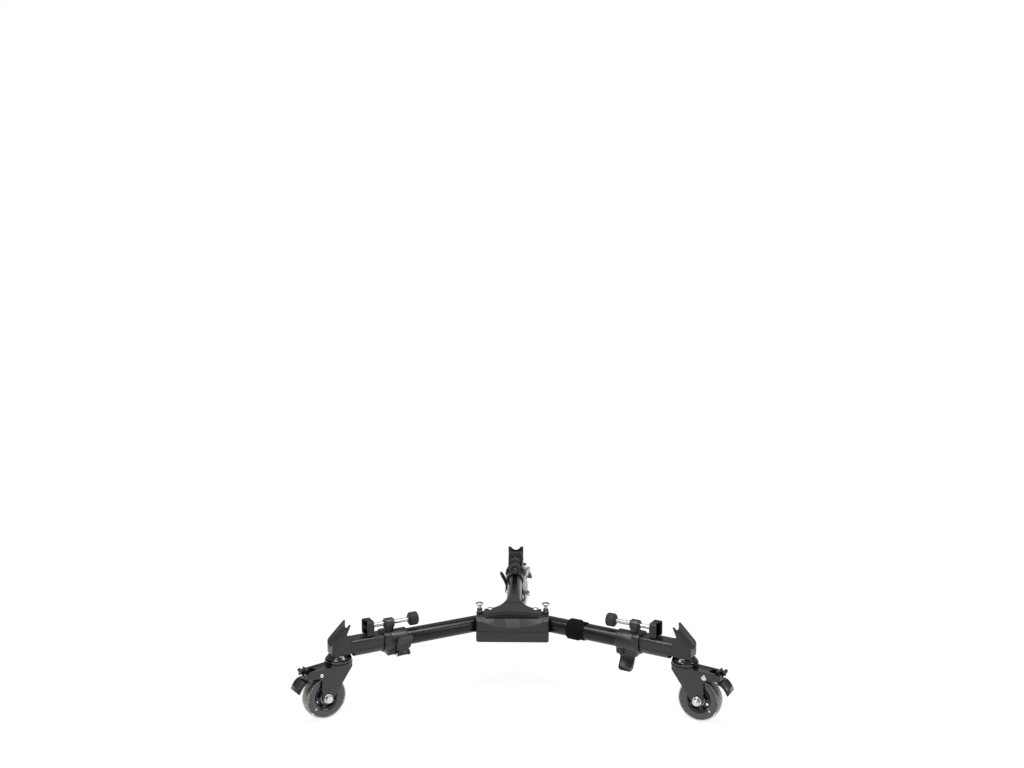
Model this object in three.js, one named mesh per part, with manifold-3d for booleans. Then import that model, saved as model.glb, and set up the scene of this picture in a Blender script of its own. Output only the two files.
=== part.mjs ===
// A three-legged rolling dolly for a camera tripod.
// Millimetres, +Z up, +Y towards the rear leg, the floor at z = 0.
// Each leg is drawn once, pointing along +X from the middle of the tripod, with +Y on its left-hand
// side when one looks outward, and then turned into its place.
import * as THREE from 'three';
import { mergeVertices } from 'three/addons/utils/BufferGeometryUtils.js';
import Module from 'manifold-3d';

const wasm = await Module();
wasm.setup();

// Driving sizes of the whole dolly
const footReach = 311;        // middle of the tripod to the middle of a foot platform
const frontLegTurn = -30;     // right front leg from +X, in degrees; the left one mirrors it
const rearLegTurn = 90;
const wheelRadius = 38;
const crownGap = 15.6;        // tread to the underside of the fork's crown
const fit = 0.3;              // gap between pieces that touch
const overrun = 5;            // how far a cutting tool passes the face it cuts

// Facets
const roundSteps = 24;
const smallSteps = 12;
const wheelSteps = 28;
const mediumSteps = 16;
const mergeTolerance = 1e-4;
const degree = Math.PI / 180;
const halfTurn = 180;

const tube = { radius: 15, wallThickness: 2.5, keyWidth: 10, keyDepth: 1.2, endGap: 37 };
const section = { radius: 16.5, halfWidth: 17, flatHeight: 16, shoulderRadius: 5, landHeight: 0.3, landGap: 1,
  keyGap: 0.3, grooveWidth: 3.4, grooveDropHeight: 1.5, grooveDepth: 0.8, reliefLength: 8,
  shoulderSteps: 3 };
const boreRadius = tube.radius + fit;

const ring = { wallThickness: 2.4, width: 13.6, lugLength: 6 };
const post = { insetLength: 47.8, backLength: 7.7, length: 13, width: 14, gussetRadius: 12, gussetWidth: 10,
  gussetSteps: 5 };
const head = { length: 16, width: 17, height: 15, chamfer: 3, bossRadius: 6, bossLength: 3 };
const screw = { radius: 3.8, riseHeight: 32, knobLapLength: 13, jawLapLength: 3 };
const knob = { radius: 12, ridgeDepth: 0.8, ridges: 18, length: 16, neckRadius: 7, neckLength: 2, reach: 62.9 };
const jaw = { length: 13, width: 30, height: 27.5, liftHeight: 0.4, roundRadius: 5, hollowRadius: 19,
  hollowDepth: 5, standoffLength: 22.5 };
const collar = { radius: 18.2, length: 33, slitWidth: 2 };
const lug = { insetLength: 12, length: 24, innerReach: 10, outerReach: 11.5, depth: 6.3, earWidth: 3.4,
  boltRadius: 4.5, boltHeadHeight: 3 };
const lever = { pinOffset: 17, pinDropHeight: 22.5, pinRadius: 2, barrelRadius: 4.2, earRadius: 4.7,
  width: 28, length: 37, thickness: 3.8, tipOffset: 14, roundRadius: 7, openTurn: -180,
  rivetRadius: 3.2, rivetHeadHeight: 1.1 };
const block = { platformLength: 22, length: 33.4, width: 33.4, height: 51.8, dropHeight: 6.7, faceHeight: 21,
  leanLength: 7, leanFootHeight: 13.5, shelfHeight: 5, shelfLength: 1, tipLength: 2, chamfer: 1.5,
  roundRadius: 5, troughRadius: 20, troughDepth: 4.6, swivelInsetLength: 18 };
const race = { topRadius: 17, shoulderRadius: 22.5, topHeight: 7, neckRadius: 20, neckHeight: 1.6, radius: 23.5,
  height: 4.6, stemRadius: 6, stemLength: 12, flangeRadius: 10, flangeHeight: 2 };
const fork = { plateThickness: 3, width: 32, cheekThickness: 2.5, discRadius: 24.5, backReach: 19,
  trailLength: 29, armReach: 69, armDropHeight: 2, armStartReach: 18, bossRadius: 10.2, pinReach: 39.9,
  pinDropHeight: 13, pinRadius: 3, pinHeadRadius: 4.5, pinTailRadius: 3.4, pinHeadHeight: 1.5,
  filletRadius: 9, filletDropHeight: 13, notchWidth: 15, notchReach: 46 };
const tyre = { innerRadius: 21.3, width: 24 };
const core = { innerRadius: 11.3, outerRadius: 21, width: 20, windows: 5, windowInnerRadius: 13.4,
  windowOuterRadius: 18.6, windowShare: 0.68, windowSteps: 3 };
const bearing = { outerRadius: 11, stepRadius: 6.6, width: 21 };
const axle = { radius: 4, washerRadius: 8, washerThickness: 1.3, flatsWidth: 13, headHeight: 5.3,
  nutHeight: 6.5, tailLength: 2 };
const pedal = { width: 34, armWidth: 22, length: 44, height: 25, barrelRadius: 4.4, tabWidth: 11,
  rollerRadius: 3.5, rollerOffset: 32.5, rollerRiseHeight: 12 };

// The hub's heights and depths are over and under the axis of the tubes
const hub = { halfWidth: 68, frontReach: 67, bottomDepth: 27, seamDepth: 6.5, shoulderHeight: 19,
  topHeight: 23, cornerRadius: 6, barThickness: 9.5, barHeight: 15.5, crestHeight: 0.5,
  crestEndHeight: 13.5, crestHalfWidth: 62, backReach: 24, apexReach: 69, backRadius: 9,
  plateHalfWidth: 54, sideSteps: 8 };
const slot = { halfWidth: 49, endDepth: 4, middleDepth: 19.5, rimWidth: 2 };
const pivot = { reach: 50, tailLength: 12, radius: 4, headRadius: 7, headHeight: 3, nutFlatsWidth: 13,
  nutHeight: 5.2, recessDepth: 6 };
const plunger = { gap: 22, pinRadius: 2.9, barrelRadius: 5, barrelHeight: 9, flangeRadius: 6.5,
  flangeHeight: 2, travelLength: 5, knobRadius: 7.7, knobHeight: 7 };
const fold = { turn: 105, gap: 0.6 };
const rearTubeStart = -18;
const strap = { reach: 123.5, width: 22.5, tailLength: 12, thickness: 4.2, tailThickness: 2.1 };

// Stations along a leg that follow from the sizes above
const postReach = footReach - post.insetLength;
const sectionStart = postReach - ring.width / 2;
const collarEnd = sectionStart - fit;
const collarStart = collarEnd - collar.length;
const blockStart = footReach + block.platformLength;
const sectionEnd = blockStart - fit;
const swivelReach = blockStart + block.swivelInsetLength;
const jawStart = footReach - jaw.standoffLength;
const landStart = jawStart + jaw.length + section.landGap;
const tubeEnd = blockStart - tube.endGap;
const headReach = postReach - post.backLength;
const leverReach = collarStart + lug.insetLength;
const plungerReach = pivot.reach + plunger.gap;

// Heights over the floor that follow from the sizes above
const crownTop = 2 * wheelRadius + crownGap + fork.plateThickness;
const forkPinHeight = crownTop - fork.pinDropHeight;
const casterHeight = crownTop + fit + race.height + race.neckHeight + race.topHeight + fit;
const axisHeight = casterHeight + block.dropHeight;
const deck = axisHeight + section.flatHeight;
const screwHeight = axisHeight + screw.riseHeight;
const hubBottom = axisHeight - hub.bottomDepth;
const hubSeam = axisHeight - hub.seamDepth;
const hubShoulder = axisHeight + hub.shoulderHeight;
const hubTop = axisHeight + hub.topHeight;

// Colours, roughness and metalness
function finish(color, roughness, metalness) {
  return new THREE.MeshStandardMaterial({ color, roughness, metalness });
}
const anodised = finish(0x1d1d1f, 0.3, 0.8);
const charcoal = finish(0x3a3a3b, 0.6, 0.2);
const nylon = finish(0x2e2e30, 0.7, 0);
const glossBlack = finish(0x1b1a1b, 0.25, 0.3);
const rubber = finish(0x171717, 0.85, 0);
const nickel = finish(0xb9a594, 0.28, 1);
const zinc = finish(0xc9cccf, 0.3, 1);
const smoke = finish(0x3f3f48, 0.15, 0);
const hook = finish(0x141414, 0.95, 0);

// Solids: a closed three.js geometry becomes a solid that can be joined and cut
function solid(geometry) {
  const bare = geometry.clone();
  bare.deleteAttribute('normal');
  bare.deleteAttribute('uv');
  const merged = mergeVertices(bare, mergeTolerance);
  const at = merged.attributes.position;
  const index = merged.index.array;
  const kept = [];
  let volume = 0;
  const [a, b, c] = [new THREE.Vector3(), new THREE.Vector3(), new THREE.Vector3()];
  for (let i = 0; i < index.length; i += 3) {
    const [p, q, r] = [index[i], index[i + 1], index[i + 2]];
    if (p === q || q === r || r === p) continue;
    kept.push(p, q, r);
    a.fromBufferAttribute(at, p);
    b.fromBufferAttribute(at, q);
    c.fromBufferAttribute(at, r);
    volume += a.dot(b.cross(c));
  }
  if (volume < 0) kept.reverse();
  return new wasm.Manifold(new wasm.Mesh({
    numProp: 3, vertProperties: new Float32Array(at.array), triVerts: new Uint32Array(kept) }));
}

function asSolid(thing) {
  return thing instanceof THREE.BufferGeometry ? solid(thing) : thing;
}

function join(first, ...others) {
  return others.reduce((whole, other) => whole.add(asSolid(other)), asSolid(first));
}

function cut(first, ...tools) {
  return tools.reduce((whole, tool) => whole.subtract(asSolid(tool)), asSolid(first));
}

function common(first, second) {
  return asSolid(first).intersect(asSolid(second));
}

function piece(name, body, material, parent) {
  const mesh = asSolid(body).getMesh();
  const geometry = new THREE.BufferGeometry();
  geometry.setAttribute('position', new THREE.BufferAttribute(new Float32Array(mesh.vertProperties), 3));
  geometry.setIndex(new THREE.BufferAttribute(new Uint32Array(mesh.triVerts), 1));
  geometry.computeVertexNormals();
  const made = new THREE.Mesh(geometry, material);
  made.name = name;
  parent.add(made);
  return made;
}

// Outlines
function outline(points) {
  return new THREE.Shape(points.map(([x, y]) => new THREE.Vector2(x, y)));
}

function polar(radius, angle, x = 0, y = 0) {
  return [x + radius * Math.cos(angle), y + radius * Math.sin(angle)];
}

function regular(sides, flats) {
  const corner = flats / 2 / Math.cos(Math.PI / sides);
  return outline(Array.from({ length: sides }, (_, i) => polar(corner, 2 * Math.PI * i / sides)));
}

function roundedBox(x0, y0, x1, y1, round) {
  const shape = new THREE.Shape();
  shape.moveTo(x0 + round, y0);
  shape.lineTo(x1 - round, y0);
  shape.absarc(x1 - round, y0 + round, round, -Math.PI / 2, 0);
  shape.lineTo(x1, y1 - round);
  shape.absarc(x1 - round, y1 - round, round, 0, Math.PI / 2);
  shape.lineTo(x0 + round, y1);
  shape.absarc(x0 + round, y1 - round, round, Math.PI / 2, Math.PI);
  shape.lineTo(x0, y0 + round);
  shape.absarc(x0 + round, y0 + round, round, Math.PI, 1.5 * Math.PI);
  return shape;
}

// Extrusions: an outline's (x, y) are (y, z) along X, (x, z) along Y and (x, y) along Z
const ontoX = new THREE.Matrix4().makeBasis(
  new THREE.Vector3(0, 1, 0), new THREE.Vector3(0, 0, 1), new THREE.Vector3(1, 0, 0));
const ontoY = new THREE.Matrix4().makeBasis(
  new THREE.Vector3(1, 0, 0), new THREE.Vector3(0, 0, 1), new THREE.Vector3(0, -1, 0));

function extruded(shape, depth, curveSegments = smallSteps / 4) {
  return new THREE.ExtrudeGeometry(shape, { depth, bevelEnabled: false, curveSegments });
}

function alongX(shape, start, end) {
  return extruded(shape, end - start).applyMatrix4(ontoX).translate(start, 0, 0);
}

function alongY(shape, start, end) {
  return extruded(shape, end - start).applyMatrix4(ontoY).translate(0, end, 0);
}

function alongZ(shape, start, end) {
  return extruded(shape, end - start).translate(0, 0, start);
}

function box(x0, x1, y0, y1, z0, z1) {
  return new THREE.BoxGeometry(x1 - x0, y1 - y0, z1 - z0)
    .translate((x0 + x1) / 2, (y0 + y1) / 2, (z0 + z1) / 2);
}

// Turned solids: a profile of [radius, place] round the named axis
function turned(profile, steps) {
  return new THREE.LatheGeometry(profile.map(([r, at]) => new THREE.Vector2(r, at)), steps);
}

function turnedX(profile, steps = roundSteps) {
  return turned(profile, steps).rotateZ(-Math.PI / 2);
}

function turnedY(profile, steps = roundSteps) {
  return turned(profile, steps);
}

function turnedZ(profile, steps = roundSteps) {
  return turned(profile, steps).rotateX(Math.PI / 2);
}

function rod(radius, start, end) {
  return [[0, start], [radius, start], [radius, end], [0, end]];
}

function hollow(inner, outer, start, end) {
  return [[inner, start], [outer, start], [outer, end], [inner, end], [inner, start]];
}

// Leg tubes
function keyGroove(start, end) {
  const top = axisHeight + tube.radius;
  return box(start, end, -tube.keyWidth / 2, tube.keyWidth / 2, top - tube.keyDepth, top + overrun);
}

function innerTube(start) {
  return cut(
    turnedX(hollow(tube.radius - tube.wallThickness, tube.radius, start, tubeEnd))
      .translate(0, 0, axisHeight),
    keyGroove(start - overrun, tubeEnd + overrun));
}

function foldingTube() {
  const bolt = turnedZ(rod(pivot.radius + fit, axisHeight - tube.radius - overrun,
    axisHeight + tube.radius + overrun), smallSteps).translate(pivot.reach, 0, 0);
  const detent = turnedZ(rod(plunger.pinRadius + fit, axisHeight, axisHeight + tube.radius + overrun),
    smallSteps).translate(plungerReach, 0, 0);
  return cut(innerTube(pivot.reach - pivot.tailLength), bolt, detent);
}

// A section's outline, let out by a gap: round below, flat on top, with upright sides between
function sectionOutline(gap) {
  const side = section.halfWidth + gap;
  const round = section.shoulderRadius + gap;
  const under = Array.from({ length: mediumSteps - 1 }, (_, i) => {
    const [x, y] = polar(1, Math.PI * (1 + i / (mediumSteps - 2)));
    return [side * x, (section.radius + gap) * y];
  });
  const shoulder = Array.from({ length: section.shoulderSteps + 1 }, (_, i) =>
    polar(round, Math.PI / 2 * i / section.shoulderSteps, side - round, section.flatHeight + gap - round));
  return outline([...under, ...shoulder, ...shoulder.map(([x, y]) => [-x, y]).reverse()]);
}

function sectionBar(gap, start, end) {
  return alongX(sectionOutline(gap), start, end).translate(0, 0, axisHeight);
}

// The land that a tripod's foot stands on is a little proud of the rest of the flat, and the underside
// is cut away over the caster's race
function outerSection() {
  const low = deck - section.landHeight;
  const shell = cut(sectionBar(0, sectionStart, sectionEnd),
    turnedX(rod(boreRadius, sectionStart - overrun, sectionEnd + overrun)).translate(0, 0, axisHeight));
  const relief = box(sectionEnd - section.reliefLength, sectionEnd + overrun, -section.halfWidth - overrun,
    section.halfWidth + overrun, axisHeight - section.radius - overrun, casterHeight);
  const beforeLand = box(sectionStart - overrun, landStart, -section.halfWidth - overrun,
    section.halfWidth + overrun, low, deck + overrun);
  const keyHalf = tube.keyWidth / 2 - section.keyGap;
  const key = box(sectionStart, sectionEnd, -keyHalf, keyHalf,
    axisHeight + tube.radius - tube.keyDepth + fit, low);
  const grooves = [-1, 1].map((side) => {
    const bottom = side * (section.halfWidth - section.grooveDepth);
    const clear = side * (section.halfWidth + overrun);
    const middle = axisHeight - section.grooveDropHeight;
    return box(sectionStart - overrun, sectionEnd + overrun, Math.min(bottom, clear),
      Math.max(bottom, clear), middle - section.grooveWidth / 2, middle + section.grooveWidth / 2);
  });
  return join(cut(shell, beforeLand, relief, ...grooves), key);
}

// The split collar that grips the inner tube, with the lug that carries its lever
function lockCollar() {
  const ringBody = turnedX(rod(collar.radius, collarStart, collarEnd)).translate(0, 0, axisHeight);
  const lugBottom = axisHeight - collar.radius - lug.depth;
  const lugStart = leverReach - lug.length / 2;
  const lugEnd = leverReach + lug.length / 2;
  const body = box(lugStart, collarEnd, -lug.innerReach, lug.outerReach, lugBottom, axisHeight - tube.radius);
  const pinHeight = axisHeight - lever.pinDropHeight;
  const ear = outline([
    [lug.outerReach - lever.earRadius, pinHeight - lever.earRadius],
    ...Array.from({ length: smallSteps / 2 + 1 }, (_, i) =>
      polar(lever.earRadius, Math.PI * (2 * i / smallSteps - 0.5), lever.pinOffset, pinHeight)),
    [lug.outerReach - lever.earRadius, pinHeight + lever.earRadius]]);
  const ears = [[lugStart, lugStart + lug.earWidth], [lugEnd - lug.earWidth, lugEnd]]
    .map(([from, to]) => alongX(ear, from, to));
  const boltHead = turnedY(rod(lug.boltRadius, -lug.innerReach - lug.boltHeadHeight, -lug.innerReach),
    smallSteps).translate(leverReach, 0, pinHeight);
  return cut(join(ringBody, body, ...ears, boltHead),
    turnedX(rod(boreRadius, collarStart - overrun, collarEnd + overrun)).translate(0, 0, axisHeight),
    box(collarStart - overrun, collarEnd + overrun, -collar.slitWidth / 2, collar.slitWidth / 2,
      lugBottom - overrun, axisHeight),
    turnedX(rod(lever.pinRadius + fit, lugStart - overrun, lugEnd + overrun), smallSteps)
      .translate(0, lever.pinOffset, pinHeight));
}

// The lever stands on its pin: the pin is its origin, and shut it points up
function lockLever() {
  const barrelHalf = lug.length / 2 - lug.earWidth - fit;
  const rootShare = 0.14;
  const bendShares = [[0.14, 0.05], [0.38, 0.2], [0.6, 0.42], [0.82, 0.72], [1, 1]];
  const place = ([up, out]) => [lever.tipOffset * out, lever.length * up];
  const half = lever.thickness / 2;
  const middle = bendShares.map(place);
  const blade = outline([
    ...middle.map(([y, z]) => [y + half, z]),
    ...middle.slice().reverse().map(([y, z]) => [y - half, z])]);
  const bladeSolid = common(
    alongX(blade, -lever.width / 2, lever.width / 2),
    alongY(roundedBox(-lever.width / 2, lever.length * rootShare, lever.width / 2, lever.length,
      lever.roundRadius), -lever.tipOffset, 2 * lever.tipOffset));
  const rootTop = lever.length * bendShares[1][0];
  const root = outline([[-half, 0], [half, 0], [place(bendShares[1])[0] + half, rootTop],
    [place(bendShares[1])[0] - half, rootTop]]);
  return cut(
    join(turnedX(rod(lever.barrelRadius, -barrelHalf, barrelHalf), smallSteps),
      alongX(root, -barrelHalf, barrelHalf), bladeSolid),
    turnedX(rod(lever.pinRadius + fit, -lug.length, lug.length), smallSteps));
}

function leverPin() {
  const half = lug.length / 2 + fit;
  const end = half + lever.rivetHeadHeight;
  return turnedX([[0, -end], [lever.rivetRadius, -end], [lever.rivetRadius, -half], [lever.pinRadius, -half],
    [lever.pinRadius, half], [lever.rivetRadius, half], [lever.rivetRadius, end], [0, end]], smallSteps);
}

// The ring round the section with a lug in line with the collar's, and the post that carries the foot screw
function footPost() {
  const from = postReach - ring.width / 2;
  const to = postReach + ring.width / 2;
  const headBottom = screwHeight - head.height / 2;
  const postInner = headReach - post.length / 2;
  const postOuter = headReach + post.length / 2;
  const half = post.width / 2;
  const shell = sectionBar(fit + ring.wallThickness, from, to);
  const lugBody = box(from, from + ring.lugLength, -lug.innerReach, lug.outerReach,
    axisHeight - collar.radius - lug.depth, axisHeight - section.radius);
  const foot = box(from, postOuter, -half, half, deck + 2 * fit, headBottom + head.chamfer);
  const neck = box(postInner, postOuter, -half, half, axisHeight + collar.radius + 2 * fit,
    headBottom + head.chamfer);
  const gusset = outline([
    [from + fit, deck + fit],
    ...Array.from({ length: post.gussetSteps + 1 }, (_, i) => polar(post.gussetRadius,
      -Math.PI / 2 * (1 + i / post.gussetSteps), postOuter + post.gussetRadius,
      deck + 2 * fit + post.gussetRadius)),
    [from + fit, deck + 2 * fit + post.gussetRadius]]);
  const toe = outline([[from + fit, deck + fit], [postOuter + post.gussetRadius, deck + fit],
    [postOuter + post.gussetRadius, deck + 3 * fit], [from + fit, deck + 3 * fit]]);
  const [hw, hh, hc] = [head.width / 2, head.height / 2, head.chamfer];
  const headShape = outline([[-hw + hc, -hh], [hw - hc, -hh], [hw, hc - hh], [hw, hh - hc], [hw - hc, hh],
    [hc - hw, hh], [-hw, hh - hc], [-hw, hc - hh]]);
  const headEnd = headReach + head.length / 2;
  const headSolid = alongX(headShape, headReach - head.length / 2, headEnd).translate(0, 0, screwHeight);
  const boss = turnedX(rod(head.bossRadius, headReach, headEnd + head.bossLength), smallSteps)
    .translate(0, 0, screwHeight);
  return cut(
    join(shell, lugBody, foot, neck, headSolid, boss,
      alongY(gusset, -post.gussetWidth / 2, post.gussetWidth / 2),
      alongY(toe, -post.gussetWidth / 2, post.gussetWidth / 2)),
    sectionBar(fit, from - overrun, to + overrun),
    turnedX(rod(screw.radius + fit, headReach - head.length, headReach + head.length), smallSteps)
      .translate(0, 0, screwHeight));
}

// Foot screw, its knob and its jaw
const knobInner = postReach - knob.reach;
const knobOuter = knobInner + knob.length;

function clampScrew() {
  return turnedX(rod(screw.radius, knobOuter - screw.knobLapLength, jawStart + screw.jawLapLength),
    smallSteps);
}

function clampKnob() {
  const points = Array.from({ length: 2 * knob.ridges }, (_, i) =>
    polar(knob.radius - (i % 2) * knob.ridgeDepth, Math.PI * i / knob.ridges));
  const neck = turnedX(rod(knob.neckRadius, knobOuter - overrun, knobOuter + knob.neckLength), smallSteps);
  const bore = turnedX(rod(screw.radius + fit, knobOuter - screw.knobLapLength - fit, knobOuter + overrun),
    smallSteps);
  return cut(join(alongX(outline(points), knobInner, knobOuter), neck), bore);
}

function clampJaw() {
  const half = jaw.width / 2;
  const bottom = deck + jaw.liftHeight;
  const slab = alongX(roundedBox(-half, bottom, half, bottom + jaw.height, jaw.roundRadius), jawStart,
    jawStart + jaw.length);
  const hollowAt = jawStart + jaw.length - jaw.hollowDepth + jaw.hollowRadius;
  const hollowTool = turnedZ(rod(jaw.hollowRadius, bottom - overrun, bottom + jaw.height + overrun))
    .translate(hollowAt, 0, 0);
  const socket = turnedX(rod(screw.radius + fit, jawStart - overrun, jawStart + screw.jawLapLength + fit),
    smallSteps).translate(0, 0, screwHeight);
  return cut(slab, hollowTool, socket);
}

// The wedge-shaped block at the outer end, with a trough down its sloping back
function endBlock() {
  const end = blockStart + block.length;
  const bottom = casterHeight;
  const top = bottom + block.height;
  const faceTop = bottom + block.faceHeight;
  const side = outline([
    [blockStart, bottom + block.chamfer], [blockStart + block.chamfer, bottom], [end - block.chamfer, bottom],
    [end, bottom + block.chamfer], [end, faceTop], [blockStart + block.tipLength, top], [blockStart, top],
    [blockStart + block.leanLength, deck + block.leanFootHeight],
    [blockStart + block.shelfLength, deck + block.shelfHeight], [blockStart, deck + block.shelfHeight]]);
  const half = block.width / 2;
  const plan = roundedBox(blockStart - block.length, -half, end, half, block.roundRadius);
  const rise = top - faceTop;
  const run = block.length - block.tipLength;
  const slope = Math.atan2(rise, run);
  const slopeLength = Math.hypot(rise, run);
  const trough = turnedX(rod(block.troughRadius, -slopeLength, 2 * slopeLength))
    .translate(0, 0, block.troughRadius - block.troughDepth)
    .rotateY(slope)
    .translate(blockStart + block.tipLength, 0, top);
  const stem = turnedZ(rod(race.stemRadius + fit, bottom - overrun, bottom + race.stemLength + fit),
    smallSteps).translate(swivelReach, 0, 0);
  return cut(common(alongY(side, -half, half), alongZ(plan, bottom, top)), trough, stem);
}

// Caster: drawn round its swivel axis, trailing towards +X
function swivelRace() {
  const top = casterHeight - fit;
  const neckTop = top - race.topHeight;
  const ringTop = neckTop - race.neckHeight;
  const ringBottom = ringTop - race.height;
  const flangeTop = crownTop - 2 * fork.plateThickness - fit;
  return turnedZ([
    [0, casterHeight + race.stemLength], [race.stemRadius, casterHeight + race.stemLength],
    [race.stemRadius, top], [race.topRadius, top], [race.shoulderRadius, neckTop], [race.neckRadius, neckTop],
    [race.neckRadius, ringTop], [race.radius, ringTop], [race.radius, ringBottom],
    [race.stemRadius, ringBottom], [race.stemRadius, flangeTop],
    [race.flangeRadius, flangeTop], [race.flangeRadius, flangeTop - race.flangeHeight],
    [0, flangeTop - race.flangeHeight]]);
}

function armHeight(x) {
  const drop = fork.armDropHeight * (x - fork.armStartReach) / (fork.armReach - fork.armStartReach);
  return crownTop - fork.plateThickness - drop;
}

// The crown's disc stands on a folded plate with two cheeks, whose arm reaches out over the wheel
function casterFork() {
  const half = fork.width / 2;
  const plateTop = crownTop - fork.plateThickness;
  const armEnd = armHeight(fork.armReach);
  const bossShares = [1.2, 1.97];
  const boss = Array.from({ length: smallSteps / 2 + 1 }, (_, i) =>
    polar(fork.bossRadius, Math.PI * (bossShares[0] + (bossShares[1] - bossShares[0]) * 2 * i / smallSteps),
      fork.trailLength, wheelRadius));
  const filletReach = fork.trailLength + fork.bossRadius + fork.filletRadius;
  const filletHeight = forkPinHeight - fork.filletDropHeight;
  const fillet = Array.from({ length: smallSteps / 3 + 1 }, (_, i) =>
    polar(fork.filletRadius, Math.PI * (1 - 1.5 * i / smallSteps), filletReach, filletHeight));
  const cheekShape = outline([
    [-fork.backReach, plateTop], [-fork.backReach, plateTop - 2 * fork.plateThickness],
    ...boss, ...fillet,
    [fork.armReach, armEnd - fork.filletRadius],
    [fork.armReach, armEnd], [fork.armStartReach, plateTop]]);
  const cheeks = [[-half, fork.cheekThickness - half], [half - fork.cheekThickness, half]]
    .map(([from, to]) => alongY(cheekShape, from, to));
  const crown = turnedZ(rod(fork.discRadius, plateTop - fit, crownTop));
  const yoke = box(-fork.backReach, fork.armStartReach, -half, half, plateTop - fork.plateThickness, plateTop);
  const arm = outline([[fork.armStartReach, plateTop], [fork.armStartReach, plateTop - fork.plateThickness],
    [fork.armReach, armEnd - fork.plateThickness], [fork.armReach, armEnd]]);
  const notchHalf = fork.notchWidth / 2;
  const notch = box(fork.notchReach, fork.armReach + overrun, -notchHalf, notchHalf,
    armEnd - overrun, crownTop);
  const pinEnd = half + fork.pinHeadHeight;
  const pin = turnedY([[0, -pinEnd], [fork.pinHeadRadius, -pinEnd], [fork.pinHeadRadius, -half],
    [fork.pinRadius, -half], [fork.pinRadius, half], [fork.pinTailRadius, half],
    [fork.pinTailRadius, pinEnd], [0, pinEnd]], smallSteps)
    .translate(fork.pinReach, 0, forkPinHeight);
  const axleHole = turnedY(rod(axle.radius + fit, -fork.width, fork.width), smallSteps)
    .translate(fork.trailLength, 0, wheelRadius);
  const stemHole = turnedZ(rod(race.stemRadius + fit, plateTop - 2 * fork.plateThickness, crownTop + overrun),
    smallSteps);
  return join(
    cut(join(crown, yoke, ...cheeks, cut(alongY(arm, -half, half), notch)), axleHole, stemHole), pin);
}

function wheelTyre() {
  const half = tyre.width / 2;
  const crownShares = [[0.84, 1], [0.95, 0.84], [1, 0.32]];
  const face = crownShares.map(([r, y]) => [wheelRadius * r, half * y]);
  const profile = [[tyre.innerRadius, half * crownShares[1][1]], ...face,
    ...face.slice().reverse().map(([r, y]) => [r, -y]), [tyre.innerRadius, -half * crownShares[1][1]]];
  return turnedY([...profile, profile[0]], wheelSteps);
}

function wheelCore() {
  const half = core.width / 2;
  const span = 2 * Math.PI / core.windows;
  const windows = Array.from({ length: core.windows }, (_, i) => {
    const from = span * (i + (1 - core.windowShare) / 2);
    const angles = Array.from({ length: core.windowSteps + 1 }, (_step, k) =>
      from + span * core.windowShare * k / core.windowSteps);
    const shape = outline([...angles.map((angle) => polar(core.windowOuterRadius, angle)),
      ...angles.slice().reverse().map((angle) => polar(core.windowInnerRadius, angle))]);
    return alongY(shape, -core.width, core.width);
  });
  return cut(turnedY(hollow(core.innerRadius, core.outerRadius, -half, half), wheelSteps), ...windows);
}

function wheelBearing() {
  const half = bearing.width / 2;
  const end = fork.width / 2 - fork.cheekThickness - fit;
  const inner = axle.radius + fit;
  return turnedY([[inner, -end], [bearing.stepRadius, -end], [bearing.stepRadius, -half],
    [bearing.outerRadius, -half], [bearing.outerRadius, half], [bearing.stepRadius, half],
    [bearing.stepRadius, end], [inner, end], [inner, -end]],
  mediumSteps);
}

function axleBolt() {
  const face = fork.width / 2 + fit;
  const washerEnd = face + axle.washerThickness;
  const shank = turnedY([[0, -washerEnd], [axle.washerRadius, -washerEnd], [axle.washerRadius, -face],
    [axle.radius, -face], [axle.radius, face], [axle.washerRadius, face], [axle.washerRadius, washerEnd],
    [0, washerEnd]], smallSteps);
  const hexagon = regular(6, axle.flatsWidth);
  const tail = turnedY(rod(axle.radius, -washerEnd - axle.nutHeight - axle.tailLength, -washerEnd),
    smallSteps);
  return join(shank, alongY(hexagon, washerEnd - fit, washerEnd + axle.headHeight),
    alongY(hexagon, -washerEnd - axle.nutHeight, fit - washerEnd), tail);
}

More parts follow.
